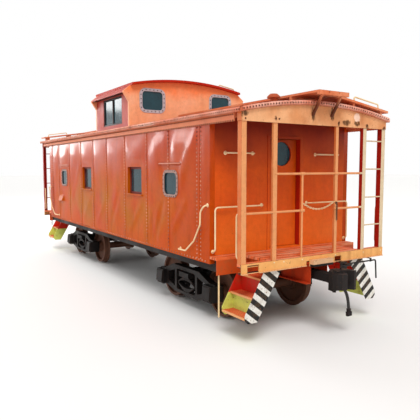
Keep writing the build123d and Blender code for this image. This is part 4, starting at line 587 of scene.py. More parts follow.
def board_weather(tree, place, colour, rough):
    """Pinker and chalkier on the long sides, more orange on the ends, with rust blots on the ends."""
    axes = add(tree, "SeparateXYZ", place).node.outputs
    reach = add(tree, "Math", axes["X"], operation="ABSOLUTE")
    end_part = add(tree, "MapRange", reach, end_board_x, end_board_x + 0.008)
    face = add(tree, "Mix", patches(tree, place, 2.4, 0.40, 0.62), "#e6a878", "#d58e5c", data_type="RGBA")
    colour = add(tree, "Mix", end_part, colour, face, data_type="RGBA")
    # The rust breaks up in flecks about 25 mm wide
    flecks = add(tree, "VectorMath", place, (9.0, 38.0, 13.0), operation="MULTIPLY")
    flecks = add(tree, "TexNoise", flecks, 1.0, 6.0, 0.66)
    for middle_y, half_y, middle_z, half_z, thick in rust_blots:
        squares = []
        for axis, middle, half in (("Y", middle_y, half_y), ("Z", middle_z, half_z)):
            off = add(tree, "Math", axes[axis], middle, operation="SUBTRACT")
            off = add(tree, "Math", off, half, operation="DIVIDE")
            squares.append(add(tree, "Math", off, 2.0, operation="POWER"))
        away = add(tree, "Math", *squares, operation="ADD")
        near = add(tree, "MapRange", away, 1.2, 0.1, 0.0, thick)
        near = add(tree, "Math", near, flecks, operation="ADD")
        near = add(tree, "MapRange", near, 0.70, 0.88, 0.0, 0.9)
        near = add(tree, "Math", near, end_part, operation="MULTIPLY")
        colour = add(tree, "Mix", near, colour, "#4c2c10", data_type="RGBA")
    away = add(tree, "VectorMath", place, filler_middle, operation="DISTANCE")
    filled = add(tree, "MapRange", ragged(tree, place, away, 16.0, 0.05), filler_edge, filler_core)
    return add(tree, "Mix", filled, colour, "#f0c8b0", data_type="RGBA"), rough


board_enamel = weathered_enamel(
    "chalked_board_enamel", "#d67248", "#dc8862", "#964c2c", "#4d2c1c",
    gloss=0.45, dull=0.7, streaks=0.55, wear=0.8, weather=board_weather)
coat_nodes(board_enamel, "eave_boards")
dark_rivet = weathered_enamel(
    "rusted_rivet_enamel", "#5c2c1a", "#48241a", "#38190f", "#24120c", gloss=0.5, dull=0.7, wear=1.2)
bm = bmesh.new()
for side in (-1, 1):
    for z, pitch, radius in board_rows:
        for x in row(*board_row_ends, pitch):
            rivet_dome(bm, (x, side * board_face, z), (0, side, 0), radius, board_rivet_rise)
place_piece("board_rivets", bm, "car", dark_rivet)

# Bolts through the end boards into the post heads: hexagon heads on round washers.
# Their washers were painted pale, and the heads have rusted dark.
end_board_face = 5.157
washer_r = 0.024
washer_thick = 0.004
head_r = 0.014
head_rise = 0.012
head_seat = 0.003
# Columns: y and z of each bolt
end_board_bolts = [
    (-0.878, 3.185), (0.357, 3.190), (0.986, 3.180), (-0.820, 3.185), (1.400, 3.165), (-1.400, 3.165)]
bm = bmesh.new()
washers = bmesh.new()
for turn in (1, -1):
    out = Vector((turn, 0, 0))
    for y, z in end_board_bolts:
        spot = Vector((turn * end_board_face, turn * y, z))
        rivet_dome(washers, spot, out, washer_r, washer_thick, sides=12)
        rivet_dome(bm, spot + head_seat * out, out, head_r, head_rise, sides=6)
place_piece("end_board_bolts", bm, "car", dark_rivet)
place_piece("end_board_washers", washers, "car", board_enamel)

# Roof: steel sheets over carlines, lapped at ribs, and a cast vent bolted through them.
# The red-orange coat has gone to pale orange, with rust where water stands.
roof_enamel = weathered_enamel(
    "faded_roof_enamel", "#c96c4c", "#d59078", "#8d4c30", "#5a3420",
    gloss=0.5, dull=0.75, streaks=0.3, wear=1.1)
vent_enamel = weathered_enamel(
    "dull_vent_enamel", "#b04a2c", "#b8603c", "#6c2c18", "#45261a",
    gloss=0.45, dull=0.7, streaks=0.5, wear=1.4)
coat_nodes(roof_enamel, "roof")
coat_nodes(vent_enamel, "roof_vent")

# Strips along the roof's edges: thin plate folded down, and crimped between nails every 50 mm.
# They have lost most of their coat, and the nail heads have rusted dark.
roof_half = 1.500
roof_eave = 3.305
roof_rise = 0.170
roof_end = 5.192
roof_r = (roof_half ** 2 + roof_rise ** 2) / (2 * roof_rise)
roof_middle = roof_eave + roof_rise - roof_r
nail_pitch = 0.050
nail_r = 0.0125
nail_rise = 0.010
nail_drop = Vector((0, 0, 0.026))
nail_lean = Vector((0, 0, 0.15))
nail_face = 0.001
crimp_steps = 6
crimp_deep = 0.0075
# The crimp is shallow at the fold, deepest in the middle and a little less so at the foot
crimp_at_fold = 0.3
crimp_at_foot = 0.9
lip_stand = 0.001
lip_drop = 0.002
strip_high = 0.046
strip_stand = 0.006
strip_lap = 0.030
strip_lift = Vector((0, 0, 0.004))
end_strip_inset = 0.02


def roof_top(y):
    """Height of the roof's top at a distance from the middle."""
    return roof_middle + math.sqrt(roof_r ** 2 - y ** 2)


def roof_edge(is_long, side, run):
    """A place on a long edge or an end edge of the roof, at a run from its middle."""
    if is_long:
        return Vector((run, side * roof_half, roof_eave))
    return Vector((side * roof_end, run, roof_top(run)))


def crimped_strip(bm, spots, outward):
    """A wavy strip folded down over an edge, from places along it and the way it faces."""
    rows = []
    for index, spot in enumerate(spots):
        pinch = crimp_deep * math.cos(2 * math.pi * index / crimp_steps)
        foot = Vector((0, 0, strip_high + pinch))
        rows.append([
            bm.verts.new(spot - outward * strip_lap + strip_lift),
            bm.verts.new(spot + outward * (strip_stand + crimp_at_fold * pinch) + strip_lift),
            bm.verts.new(spot + outward * (strip_stand + pinch) - Vector((0, 0, strip_high / 2))),
            bm.verts.new(spot + outward * (strip_stand + crimp_at_foot * pinch) - foot),
            bm.verts.new(spot + outward * lip_stand - Vector((0, 0, strip_high + pinch + lip_drop))),
        ])
    for before, after in zip(rows, rows[1:]):
        for index in range(len(before) - 1):
            bm.faces.new((before[index], before[index + 1], after[index + 1], after[index]))


nails = bmesh.new()
strip = bmesh.new()
step = nail_pitch / crimp_steps
for side in (-1, 1):
    for is_long, outward in ((True, Vector((0, side, 0))), (False, Vector((side, 0, 0)))):
        length = 2 * roof_end if is_long else 2 * (roof_half - end_strip_inset)
        crimps = int(length / nail_pitch)
        start = -crimps * crimp_steps * step / 2
        spots = [roof_edge(is_long, side, start + index * step) for index in range(crimps * crimp_steps + 1)]
        crimped_strip(strip, spots, outward)
        for index in range(crimps):
            spot = roof_edge(is_long, side, start + (index + 0.5) * nail_pitch) + outward * nail_face
            rivet_dome(nails, spot - nail_drop, outward + nail_lean, nail_r, nail_rise, sides=6)
bmesh.ops.recalc_face_normals(strip, faces=strip.faces)
strip_enamel = weathered_enamel(
    "crimped_edge_enamel", "#dc8468", "#e8b09c", "#6c3826", "#3c2018",
    gloss=0.45, dull=0.7, streaks=0.9, wear=2.0)
place_piece("roof_edge_nails", nails, "car", dark_rivet)
place_piece("roof_edge_strips", strip, "car", strip_enamel)

# Window frames in the sides: two rubber gaskets under bolted pale rings, two recessed sashes a side.
# The rings are painted pinkish grey, the rubber is black and the sashes are dull brown-red.
gasket_windows = (side_openings[0], side_openings[3])
gasket_width = 0.431
gasket_height = 0.361
ring_bolt_off = 0.031
ring_bolt_line = (gasket_width + 2 * ring_bolt_off, gasket_height + 2 * ring_bolt_off)
ring_bolt_corner = 0.116
ring_bolt_count = 22
ring_bolt_r = 0.0105
ring_bolt_rise = 0.008
ring_proud = 0.012


def window_frame_weather(tree, place, colour, rough):
    """Rubber and sash colours by depth into the wall."""
    depth = add(tree, "Math", add(tree, "SeparateXYZ", place).node.outputs["Y"], operation="ABSOLUTE")
    rubber = add(tree, "MapRange", depth, 1.4500, 1.4490)
    colour = add(tree, "Mix", rubber, colour, "#1f1d1c", data_type="RGBA")
    sash = add(tree, "MapRange", depth, 1.405, 1.400)
    return add(tree, "Mix", sash, colour, "#6a1c12", data_type="RGBA"), rough


def around(width, height, corner, count):
    """Places evenly round a rounded rectangle about its middle."""
    straight_x = width - 2 * corner
    straight_y = height - 2 * corner
    arc = math.pi * corner / 2
    total = 2 * (straight_x + straight_y) + 4 * arc
    places = []
    for index in range(count):
        run = total * (index + 0.5) / count
        x, y, angle = -straight_x / 2, -height / 2, 0.0
        for length in (straight_x, straight_y, straight_x, straight_y):
            if run <= length:
                x += run * math.cos(angle)
                y += run * math.sin(angle)
                break
            run -= length
            # On from the end of the straight, round the corner
            center_x = x + length * math.cos(angle) - corner * math.sin(angle)
            center_y = y + length * math.sin(angle) + corner * math.cos(angle)
            sweep = angle - math.pi / 2 + min(run, arc) / corner
            x = center_x + corner * math.cos(sweep)
            y = center_y + corner * math.sin(sweep)
            if run <= arc:
                break
            run -= arc
            angle += math.pi / 2
        places.append((x, y))
    return places


coat_nodes(
    weathered_enamel(
        "window_ring_paint", "#a07a70", "#ab8a80", "#7a4e40", "#40291f",
        gloss=0.45, dull=0.6, streaks=0.4, wear=0.8, weather=window_frame_weather),
    "window_frames")
dark_bolt = weathered_enamel(
    "dark_ring_bolts", "#3a2620", "#4a322a", "#2a1a15", "#1e1410", gloss=0.5, dull=0.7, wear=0.6)
bm = bmesh.new()
for side in (-1, 1):
    for x, z, width, height in gasket_windows:
        for across, up in around(*ring_bolt_line, ring_bolt_corner, ring_bolt_count):
            spot = (x + across, side * (sheet_face + ring_proud), z + up)
            rivet_dome(bm, spot, (0, side, 0), ring_bolt_r, ring_bolt_rise)
place_piece("side_ring_bolts", bm, "car", dark_bolt)

# Drip strips over the gasket windows: bent sheet riveted to the side, with a softened edge.
# The brush left them paler than the sheets.
drip_half = 0.388
drip_low = 2.566
drip_high = 2.590
drip_out = 0.027


def slab(bm, low, high, soft):
    """A bar with softened edges between two corners."""
    made = bmesh.ops.create_cube(bm, size=1.0)
    for vert in made["verts"]:
        for axis in range(3):
            vert.co[axis] = low[axis] if vert.co[axis] < 0 else high[axis]
    edges = list({e for v in made["verts"] for e in v.link_edges})
    bmesh.ops.bevel(bm, geom=edges, offset=soft, segments=2, affect="EDGES", profile=0.7)


trim_enamel = weathered_enamel(
    "pale_trim_enamel", "#dc9c80", "#dcb09a", "#a05c40", "#5a3426",
    gloss=0.4, dull=0.6, streaks=0.4, wear=0.7)
bm = bmesh.new()
for side in (-1, 1):
    faces = sorted((side * sheet_face, side * (sheet_face + drip_out)))
    for x, z, width, height in gasket_windows:
        slab(bm, (x - drip_half, faces[0], drip_low), (x + drip_half, faces[1], drip_high), soft=0.004)
place_piece("drip_caps", bm, "car", trim_enamel)

# Window panes: 6 mm clear glass, dark because the cabin behind them is unlit.
# A thin film of dust takes the edge off their shine.


def pane_glass(tree, shader):
    """Clear glass over a dark cabin, with dust in soft patches up to 140 mm across."""
    place = add(tree, "TexCoord").node.outputs["Object"]
    dust = add(tree, "TexNoise", place, 7.0, 6.0, 0.65)
    colour = add(tree, "Mix", dust, "#052630", "#245864", data_type="RGBA")
    tree.links.new(colour, shader.inputs["Base Color"])
    tree.links.new(add(tree, "MapRange", dust, 0.0, 1.0, 0.03, 0.16), shader.inputs["Roughness"])
    shader.inputs["IOR"].default_value = 1.52
    shader.inputs["Specular IOR Level"].default_value = 0.25
    shader.inputs["Transmission Weight"].default_value = 0.30


coat_nodes(finish_with("dusty_window_glass", pane_glass), "window_glass", "door_glass_a", "door_glass_b")

# End walls and doors: smooth plates in deep orange enamel, sheltered by the platform roof.
# The door way's reveals are painted dark red as painted shade, and painted shade darkens the top under the
# roof.
reveal_y = 0.37


def end_shade_and_tone(tree, place, colour, rough):
    """Painted shade in dark red near the roof, brighter near the deck, and painted shade in dark red in the
    door way's reveals.
    """
    axes = add(tree, "SeparateXYZ", place).node.outputs
    facing = add(tree, "SeparateXYZ", add(tree, "TexCoord").node.outputs["Normal"]).node.outputs
    level = ragged(tree, place, axes["Z"], 1.8, 0.22)
    # Painted shade: dark red at the top of the end wall, under the roof
    painted_shade = add(tree, "MapRange", level, 2.45, 3.15, 0.0, 0.92)
    colour = add(tree, "Mix", painted_shade, colour, "#6a1408", data_type="RGBA")
    low = add(tree, "MapRange", level, 2.0, 1.3, 0.0, 0.7)
    colour = add(tree, "Mix", low, colour, "#e6701e", data_type="RGBA")
    # Painted shade: the door way's reveals, which face sideways, are painted dark red
    sideways = add(tree, "Math", facing["Y"], operation="ABSOLUTE")
    sideways = add(tree, "Math", sideways, 0.8, operation="GREATER_THAN")
    inner = add(tree, "Math", axes["Y"], operation="ABSOLUTE")
    inner = add(tree, "Math", inner, reveal_y, operation="LESS_THAN")
    reveal = add(tree, "Math", sideways, inner, operation="MULTIPLY")
    return add(tree, "Mix", reveal, colour, "#a8200e", data_type="RGBA"), rough


end_enamel = weathered_enamel(
    "sheltered_end_enamel", "#d85608", "#cb4a0e", "#9a3408", "#5a2a12",
    gloss=0.36, dull=0.50, streaks=0.30, wear=0.20, weather=end_shade_and_tone)
coat_nodes(end_enamel, "end_wall_a", "end_wall_b", "door_a", "door_b", "door_hinges")

# Cupola: riveted box of sheet steel, brighter orange because it was painted last.
# Its sides are pinkish red with sliding sashes, and its roof has a bright red edge.


def cupola_weather(tree, place, colour, rough):
    """Sun-bleached peach low down, deeper orange under the roof."""
    height = add(tree, "SeparateXYZ", place).node.outputs["Z"]
    deep = add(tree, "MapRange", ragged(tree, place, height, 2.6, 0.22), 3.92, 4.14)
    return add(tree, "Mix", deep, colour, "#f4844e", data_type="RGBA"), rough


def hood_underside_shade(tree, place, colour, rough):
    """Painted shade on the undersides of the hoods over the side windows."""
    down = add(tree, "SeparateXYZ", add(tree, "TexCoord").node.outputs["Normal"]).node.outputs["Z"]
    # Painted shade: faces turned downwards are darkened
    painted_shade = add(tree, "MapRange", down, -0.15, -0.45, 0.0, 0.9)
    return add(tree, "Mix", painted_shade, colour, "#2c100c", data_type="RGBA"), rough


cupola_end_enamel = weathered_enamel(
    "bright_cupola_enamel", "#f0a070", "#f2ab84", "#c8683c", "#6a3c26",
    gloss=0.42, dull=0.58, streaks=0.3, wear=0.35, weather=cupola_weather)
cupola_side_enamel = weathered_enamel(
    "pink_pilaster_enamel", "#ac3222", "#b44a3a", "#843020", "#4a2218",
    gloss=0.42, dull=0.6, streaks=0.4, wear=0.6, weather=hood_underside_shade)
red_enamel = weathered_enamel(
    "signal_red_enamel", "#b4200e", "#bc3418", "#6c2412", "#431f14",
    gloss=0.42, dull=0.6, streaks=0.3, wear=0.6, mirror=0.06)
coat_nodes(cupola_end_enamel, "cupola_end_a", "cupola_end_b")
coat_nodes(cupola_side_enamel, "cupola_side_left", "cupola_side_right")
coat_nodes(red_enamel, "cupola_roof")

# Cupola window frames: bolted rings over the end windows, and sliding sashes in the sides.
# The rings are painted pale grey, and the sashes have gone dark.
sash_y = 1.20
# Columns: x of the ring's face, the way it faces
cupola_ends = [(1.222, 1), (-0.668, -1)]
cupola_window_y = 0.827
cupola_window_z = 3.870
cupola_pane_width = 0.458
cupola_pane_height = 0.370
cupola_bolt_off = 0.030
cupola_bolt_line = (cupola_pane_width + 2 * cupola_bolt_off, cupola_pane_height + 2 * cupola_bolt_off)
cupola_bolt_corner = 0.105
cupola_bolt_count = 20
cupola_bolt_r = 0.0125
cupola_bolt_rise = 0.009
cupola_ring_thick = 0.009


def cupola_frame_weather(tree, place, colour, rough):
    """The sliding sashes in the sides are dark, the rings on the ends stay pale."""
    sash = add(tree, "Math", add(tree, "SeparateXYZ", place).node.outputs["Y"], operation="ABSOLUTE")
    sash = add(tree, "Math", sash, sash_y, operation="GREATER_THAN")
    return add(tree, "Mix", sash, colour, "#352320", data_type="RGBA"), rough


coat_nodes(
    weathered_enamel(
        "grey_ring_paint", "#b3a8ac", "#c0b6ba", "#85686a", "#4a3834",
        gloss=0.45, dull=0.6, streaks=0.3, wear=0.8, weather=cupola_frame_weather),
    "cupola_frames")
bm = bmesh.new()
for face_x, out in cupola_ends:
    for middle in (-cupola_window_y, cupola_window_y):
        for across, up in around(*cupola_bolt_line, cupola_bolt_corner, cupola_bolt_count):
            spot = (face_x + out * cupola_ring_thick, middle + across, cupola_window_z + up)
            rivet_dome(bm, spot, (out, 0, 0), cupola_bolt_r, cupola_bolt_rise)
place_piece("cupola_ring_bolts", bm, "car", dark_bolt)

# Posts, railings, ladders and grab irons: pressed channels and pipe, brushed over many times.
# Faces towards the end are painted paler as painted light, the others keep their orange, and the dark red of
# the ladders' flanges is painted shade.


def post_light_and_shade(tree, place, colour, rough):
    """End faces painted paler as painted light. On the ladder's side of each end they are cream, with dark
    red painted shade on the flanges.
    """
    axes = add(tree, "SeparateXYZ", place).node.outputs
    facing = add(tree, "SeparateXYZ", add(tree, "TexCoord").node.outputs["Normal"]).node.outputs
    # The posts stand about 5 m from the middle, so this takes the faces turned mostly to the end
    ahead = add(tree, "Math", facing["X"], axes["X"], operation="MULTIPLY")
    ahead = add(tree, "Math", ahead, 2.5, operation="GREATER_THAN")
    # Painted light: faces turned to the end are painted paler than the sides
    colour = add(tree, "Mix", ahead, colour, "#dc9460", data_type="RGBA")
    # x and y have the same sign at the ladder's corner of each end
    ladder_side = add(tree, "Math", axes["X"], axes["Y"], operation="MULTIPLY")
    ladder_side = add(tree, "Math", ladder_side, 4.5, operation="GREATER_THAN")
    # Painted shade: on the ladder's side the flanges are dark red, and the end faces keep the ladders' cream
    ladder_paint_and_shade = add(tree, "Mix", ahead, "#a01c10", "#d6bf9c", data_type="RGBA")
    return add(tree, "Mix", ladder_side, colour, ladder_paint_and_shade, data_type="RGBA"), rough


post_enamel = weathered_enamel(
    "brushed_post_enamel", "#cf6a34", "#d5844e", "#9c4822", "#54301e",
    gloss=0.38, dull=0.55, streaks=0.5, wear=0.7, weather=post_light_and_shade)
cream_enamel = weathered_enamel(
    "cream_rod_enamel", "#e2c08c", "#eed6ac", "#b07c4c", "#6a4028",
    gloss=0.35, dull=0.55, streaks=0.5, wear=0.7)
coat_nodes(post_enamel, "corner_posts", "ladders", "end_railings")
coat_nodes(cream_enamel, "grab_irons", "drain_pipe")

# Feet of the grab irons: forged round pads on the sheets, each held by two bolts.
# They carry the cream paint of the rods, with rust round their heads.
pad_r = 0.031
pad_rise = 0.011
pad_bolt_r = 0.009
pad_bolt_off = 0.62 * pad_r
pad_bolt_seat = 0.7 * pad_rise
# Columns: place along the wall, height of each pad
end_pads = [(0.664, 2.732), (1.172, 2.732), (0.480, 1.925), (1.392, 1.262)]
side_pads = [(4.300, 1.957), (3.480, 1.200)]
bm = bmesh.new()
for end in (-1, 1):
    for side in (-1, 1):
        ahead, outward = Vector((1, 0, 0)), Vector((0, 1, 0))
        spots = [(Vector((end * body_end, side * y, z)), end * ahead, outward) for y, z in end_pads]
        spots += [(Vector((end * x, side * sheet_face, z)), side * outward, ahead) for x, z in side_pads]
        for spot, out, across in spots:
            rivet_dome(bm, spot, out, pad_r, pad_rise, sides=14)
            for way in (-1, 1):
                bolt_spot = spot + across * way * pad_bolt_off + out * pad_bolt_seat
                rivet_dome(bm, bolt_spot, out, pad_bolt_r, pad_rise, sides=6)
place_piece("iron_pads", bm, "car", cream_enamel)

# Gangway chains: welded oval links of 8 mm wire, hooked across the way between two posts.
# They hang in a plain curve, and the cream paint sits on the outside of the links.
chain_x = 5.132
chain_from = Vector((chain_x, -0.337, 2.000))
chain_to = Vector((chain_x, 0.317, 2.000))
chain_sag = 0.105
chain_steps = 400
# Steps looked back and ahead for a link's direction
chain_look = 4
link_length = 0.046
link_width = 0.030
wire_r = 0.0042
link_pitch = link_length - 4 * wire_r


def oval_link(bm, center, along, flat):
    """One welded link: a round wire bent to an oval."""
    along = along.normalized()
    flat = (flat - along * flat.dot(along)).normalized()
    lift = along.cross(flat)
    half_long = link_length / 2 - wire_r
    half_wide = link_width / 2 - wire_r
    turns, sides = 16, 6
    rings = []
    for index in range(turns):
        angle = 2 * math.pi * index / turns
        middle = Vector(center) + along * half_long * math.cos(angle) + flat * half_wide * math.sin(angle)
        outward = (along * math.cos(angle) / half_long + flat * math.sin(angle) / half_wide).normalized()
        ring = []
        for step in range(sides):
            turn = 2 * math.pi * step / sides
            ring.append(bm.verts.new(middle + (outward * math.cos(turn) + lift * math.sin(turn)) * wire_r))
        rings.append(ring)
    for index in range(turns):
        low, high = rings[index], rings[(index + 1) % turns]
        for step in range(sides):
            after = (step + 1) % sides
            bm.faces.new((low[step], low[after], high[after], high[step]))


def chain_spot(share):
    """A place along the hanging chain."""
    spot = chain_from.lerp(chain_to, share)
    spot.z -= chain_sag * 4 * share * (1 - share)
    return spot


samples = [chain_spot(index / chain_steps) for index in range(chain_steps + 1)]
runs = [0.0]
for before, after in zip(samples, samples[1:]):
    runs.append(runs[-1] + (after - before).length)
link_count = int(runs[-1] / link_pitch)
bm = bmesh.new()
for turn in (1, -1):
    for index in range(link_count + 1):
        target = runs[-1] * index / link_count
        nearest = min(range(len(runs)), key=lambda i: abs(runs[i] - target))
        spot = samples[nearest]
        ahead = samples[min(nearest + chain_look, chain_steps)] - samples[max(nearest - chain_look, 0)]
        # Every second link is turned a quarter
        flat = Vector((1, 0, 0)) if index % 2 else ahead.cross(Vector((1, 0, 0)))
        oval_link(bm, (turn * spot.x, turn * spot.y, spot.z),
                  Vector((0, turn * ahead.y, ahead.z)), Vector((turn * flat.x, turn * flat.y, flat.z)))
chain = place_piece("chain_links", bm, "car", cream_enamel)
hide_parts("gangway_chains")

# Spare tail of chain at each end: the same links unpainted, black with grease.
# It hangs from an eye on the rail post.
tail_top = Vector((5.166, 0.345, 1.965))
tail_links = 9
eye_back = 0.034
eye_lift = 0.012
eye_r = 0.022
eye_rise = 0.030
bm = bmesh.new()
for turn in (1, -1):
    for index in range(tail_links):
        spot = Vector((turn * tail_top.x, turn * tail_top.y, tail_top.z - index * link_pitch))
        flat = Vector((0, 1, 0)) if index % 2 else Vector((1, 0, 0))
        oval_link(bm, spot, Vector((0, 0, -1)), flat)
    eye = (turn * (tail_top.x - eye_back), turn * tail_top.y, tail_top.z + eye_lift)
    rivet_dome(bm, eye, (turn, 0, 0), eye_r, eye_rise)
place_piece("chain_tails", bm, "car", dark_bolt)

# Platform decks: tongued softwood planks laid across the car, with open joints.
# They are painted red, and worn to the grain underfoot.
plank_pitch = 0.130
joint_half = 0.009


def deck_boards(tree, shader):
    """Softwood planks: grain lines every 4 to 8 mm, paint worn off in clouds, and dirt in the joints."""
    place = add(tree, "TexCoord").node.outputs["Object"]
    reach = add(tree, "Math", add(tree, "SeparateXYZ", place).node.outputs["X"], operation="ABSOLUTE")
    run = add(tree, "Math", reach, body_end - plank_pitch / 2, operation="SUBTRACT")
    board = add(tree, "Math", add(tree, "Math", run, plank_pitch, operation="DIVIDE"), operation="FLOOR")
    shade = add(tree, "TexWhiteNoise", board, noise_dimensions="1D")
    across = add(tree, "Math", run, plank_pitch / 2, operation="SUBTRACT")
    across = add(tree, "Math", across, plank_pitch / 2, operation="PINGPONG")
    lines = add(tree, "VectorMath", place, (120.0, 5.0, 60.0), operation="MULTIPLY")
    grain = add(tree, "TexNoise", lines, 1.0, 6.0, 0.6)
    scuffs = add(tree, "VectorMath", place, (14.0, 2.2, 9.0), operation="MULTIPLY")
    worn = add(tree, "TexNoise", scuffs, 1.0, 6.0, 0.6)
    worn = add(tree, "Math", worn, add(tree, "MapRange", shade, 0.0, 1.0, -0.07, 0.07), operation="ADD")
    worn = add(tree, "MapRange", worn, 0.42, 0.62)
    painted = add(tree, "Mix", grain, "#c84a1c", "#f07a40", data_type="RGBA")
    bare = add(tree, "Mix", grain, "#c4704a", "#f8b48c", data_type="RGBA")
    colour = add(tree, "Mix", worn, painted, bare, data_type="RGBA")
    dirt = patches(tree, place, 26.0, 0.62, 0.70, 0.7, 6.0)
    colour = add(tree, "Mix", dirt, colour, "#5c2c1c", data_type="RGBA")
    joint = add(tree, "MapRange", across, joint_half, 0.003, 0.0, 0.92)
    colour = add(tree, "Mix", joint, colour, "#3a150c", data_type="RGBA")
    tree.links.new(colour, shader.inputs["Base Color"])
    tree.links.new(add(tree, "MapRange", worn, 0.0, 1.0, 0.55, 0.85), shader.inputs["Roughness"])
    shader.inputs["Specular IOR Level"].default_value = 0.2
    bump = add(tree, "Bump", 0.5, 0.0015, None, grain)
    tree.links.new(bump, shader.inputs["Normal"])


coat_nodes(finish_with("worn_painted_planks", deck_boards), "platform_decks")

# End sills: pressed channels across the ends, with a striker over the coupler.
# They are orange on the face, with a painted highlight on the bottom lip, and painted shade in near black
# behind them.
lip_top = 1.0705
sill_back = 5.1405
striker_face = 5.176
striker_head = 1.085


def sill_paint_light_and_shade(tree, place, colour, rough):
    """A painted highlight on the bottom lip, a bleached head on a black striker, and painted shade in near
    black behind.
    """
    axes = add(tree, "SeparateXYZ", place).node.outputs
    reach = add(tree, "Math", axes["X"], operation="ABSOLUTE")
    # Painted highlight: the bottom lip is paler
    lip_highlight = add(tree, "Math", axes["Z"], lip_top, operation="LESS_THAN")
    pale = add(tree, "Mix", lip_highlight, colour, "#eab07c", data_type="RGBA")
    striker = add(tree, "Math", reach, striker_face, operation="GREATER_THAN")
    head = add(tree, "Math", axes["Z"], striker_head, operation="GREATER_THAN")
    cast = add(tree, "Mix", head, "#1c1816", "#dcae84", data_type="RGBA")
    pale = add(tree, "Mix", striker, pale, cast, data_type="RGBA")
    # Painted shade: everything behind the sill's face is near black
    shade_behind = add(tree, "Math", reach, sill_back, operation="LESS_THAN")
    return add(tree, "Mix", shade_behind, pale, "#3a2420", data_type="RGBA"), rough


coat_nodes(
    weathered_enamel(
        "end_sill_enamel", "#e3a05a", "#e9ac68", "#a85c28", "#4d2c1a",
        gloss=0.42, dull=0.6, streaks=0.5, wear=0.9, weather=sill_paint_light_and_shade),
    "end_sills")

# Bolts of the rail feet through the end sills: forged hexagon heads, brushed cream with the irons.
# They stand on the face of the sill, and the cream is chipped to rust at their corners.
sill_face = 5.152
sill_bolt_r = 0.015
sill_bolt_rise = 0.013
# Columns: y and z of each bolt
sill_bolts = [
    (-0.879, 1.176), (-0.344, 1.166), (0.982, 1.154), (-0.700, 1.170), (0.345, 1.166), (1.402, 1.150)]
bm = bmesh.new()
for turn in (1, -1):
    for y, z in sill_bolts:
        rivet_dome(bm, (turn * sill_face, turn * y, z), (turn, 0, 0), sill_bolt_r, sill_bolt_rise, sides=6)
place_piece("sill_bolts", bm, "car", cream_enamel)

# Steps: riveted plate treads, risers and stringers in three enamels, yellow below and red-orange above.
# The stringers that face the ends carry black and white warning bars, 75 mm wide, across the slope.
stripe_pitch = 0.150
stripe_lean = Vector((0.0, 0.62, -0.785))
stripe_shift = 10.0
stringer_face = 5.1005
inner_stringer_y = 0.80
# Heights where the plates change from yellow to red, and from red to orange
yellow_top = 0.67
red_top = 0.93


def step_paint(tree, shader):
    """Striped outer plates, yellow and red plates inside, and red-orange treads, all scraped by boots."""
    place = add(tree, "TexCoord").node.outputs["Object"]
    axes = add(tree, "SeparateXYZ", place).node.outputs
    facing = add(tree, "SeparateXYZ", add(tree, "TexCoord").node.outputs["Normal"]).node.outputs
    reach = add(tree, "Math", axes["X"], operation="ABSOLUTE")
    spread = add(tree, "Math", axes["Y"], operation="ABSOLUTE")
    # Distance across the bars, shifted above zero so that the bars repeat evenly
    rise = add(tree, "Math", axes["Z"], stripe_lean.z, operation="MULTIPLY")
    slope = add(tree, "Math", spread, stripe_lean.y, operation="MULTIPLY")
    along = add(tree, "Math", rise, slope, operation="ADD")
    along = add(tree, "Math", along, stripe_shift, operation="ADD")
    along = add(tree, "Math", along, stripe_pitch, operation="MODULO")
    white = add(tree, "Math", along, stripe_pitch / 2, operation="GREATER_THAN")
    bars = add(tree, "Mix", white, "#131110", "#dfdbd2", data_type="RGBA")
    # Scrapes of boots and brush across the bars, drawn along the plate
    scrape = patches(tree, place, 1.0, 0.62, 0.67, 0.85, 4.0, 0.6, (14.0, 60.0, 22.0))
    bars = add(tree, "Mix", scrape, bars, "#3b332e", data_type="RGBA")
    red = add(tree, "Math", axes["Z"], yellow_top, operation="GREATER_THAN")
    plates = add(tree, "Mix", red, "#d2d868", "#cf2410", data_type="RGBA")
    orange = add(tree, "Math", axes["Z"], red_top, operation="GREATER_THAN")
    plates = add(tree, "Mix", orange, plates, "#c04a14", data_type="RGBA")
    hidden = add(tree, "Math", spread, inner_stringer_y, operation="LESS_THAN")
    plates = add(tree, "Mix", hidden, plates, "#241a16", data_type="RGBA")
    level = add(tree, "Math", facing["Z"], 0.7, operation="GREATER_THAN")
    treads = add(tree, "Mix", level, plates, "#cf4a1c", data_type="RGBA")
    outer = add(tree, "Math", reach, stringer_face, operation="GREATER_THAN")
    colour = add(tree, "Mix", outer, treads, bars, data_type="RGBA")
    chips = patches(tree, place, 30.0, 0.63, 0.70, 0.8, 7.0)
    colour = add(tree, "Mix", chips, colour, "#7a4a2e", data_type="RGBA")
    grime = patches(tree, place, 9.0, 0.45, 0.75, 0.35, 5.0)
    colour = add(tree, "Mix", grime, colour, "#7d5a34", data_type="RGBA")
    tree.links.new(colour, shader.inputs["Base Color"])
    shader.inputs["Roughness"].default_value = 0.5
    shader.inputs["Specular IOR Level"].default_value = 0.3
    bump = add(tree, "Bump", 0.3, 0.001, None, chips)
    tree.links.new(bump, shader.inputs["Normal"])


coat_nodes(finish_with("striped_step_enamel", step_paint), "steps")

# Treads: raised grip studs pressed into the plates in staggered rows, and a nosing bar along each edge.
# Boots keep the studs and the nosings bright.
tread_from = 4.5425
tread_to = 5.0995
# Columns: tread top z, outer y, inner y
treads = [(0.420, 1.350, 1.140), (0.680, 1.202, 0.990), (0.940, 1.055, 0.850)]
grip_r = 0.0085
grip_rise = 0.005
# First row, limit and pitch along the car
grip_rows = (4.575, 5.08, 0.026)
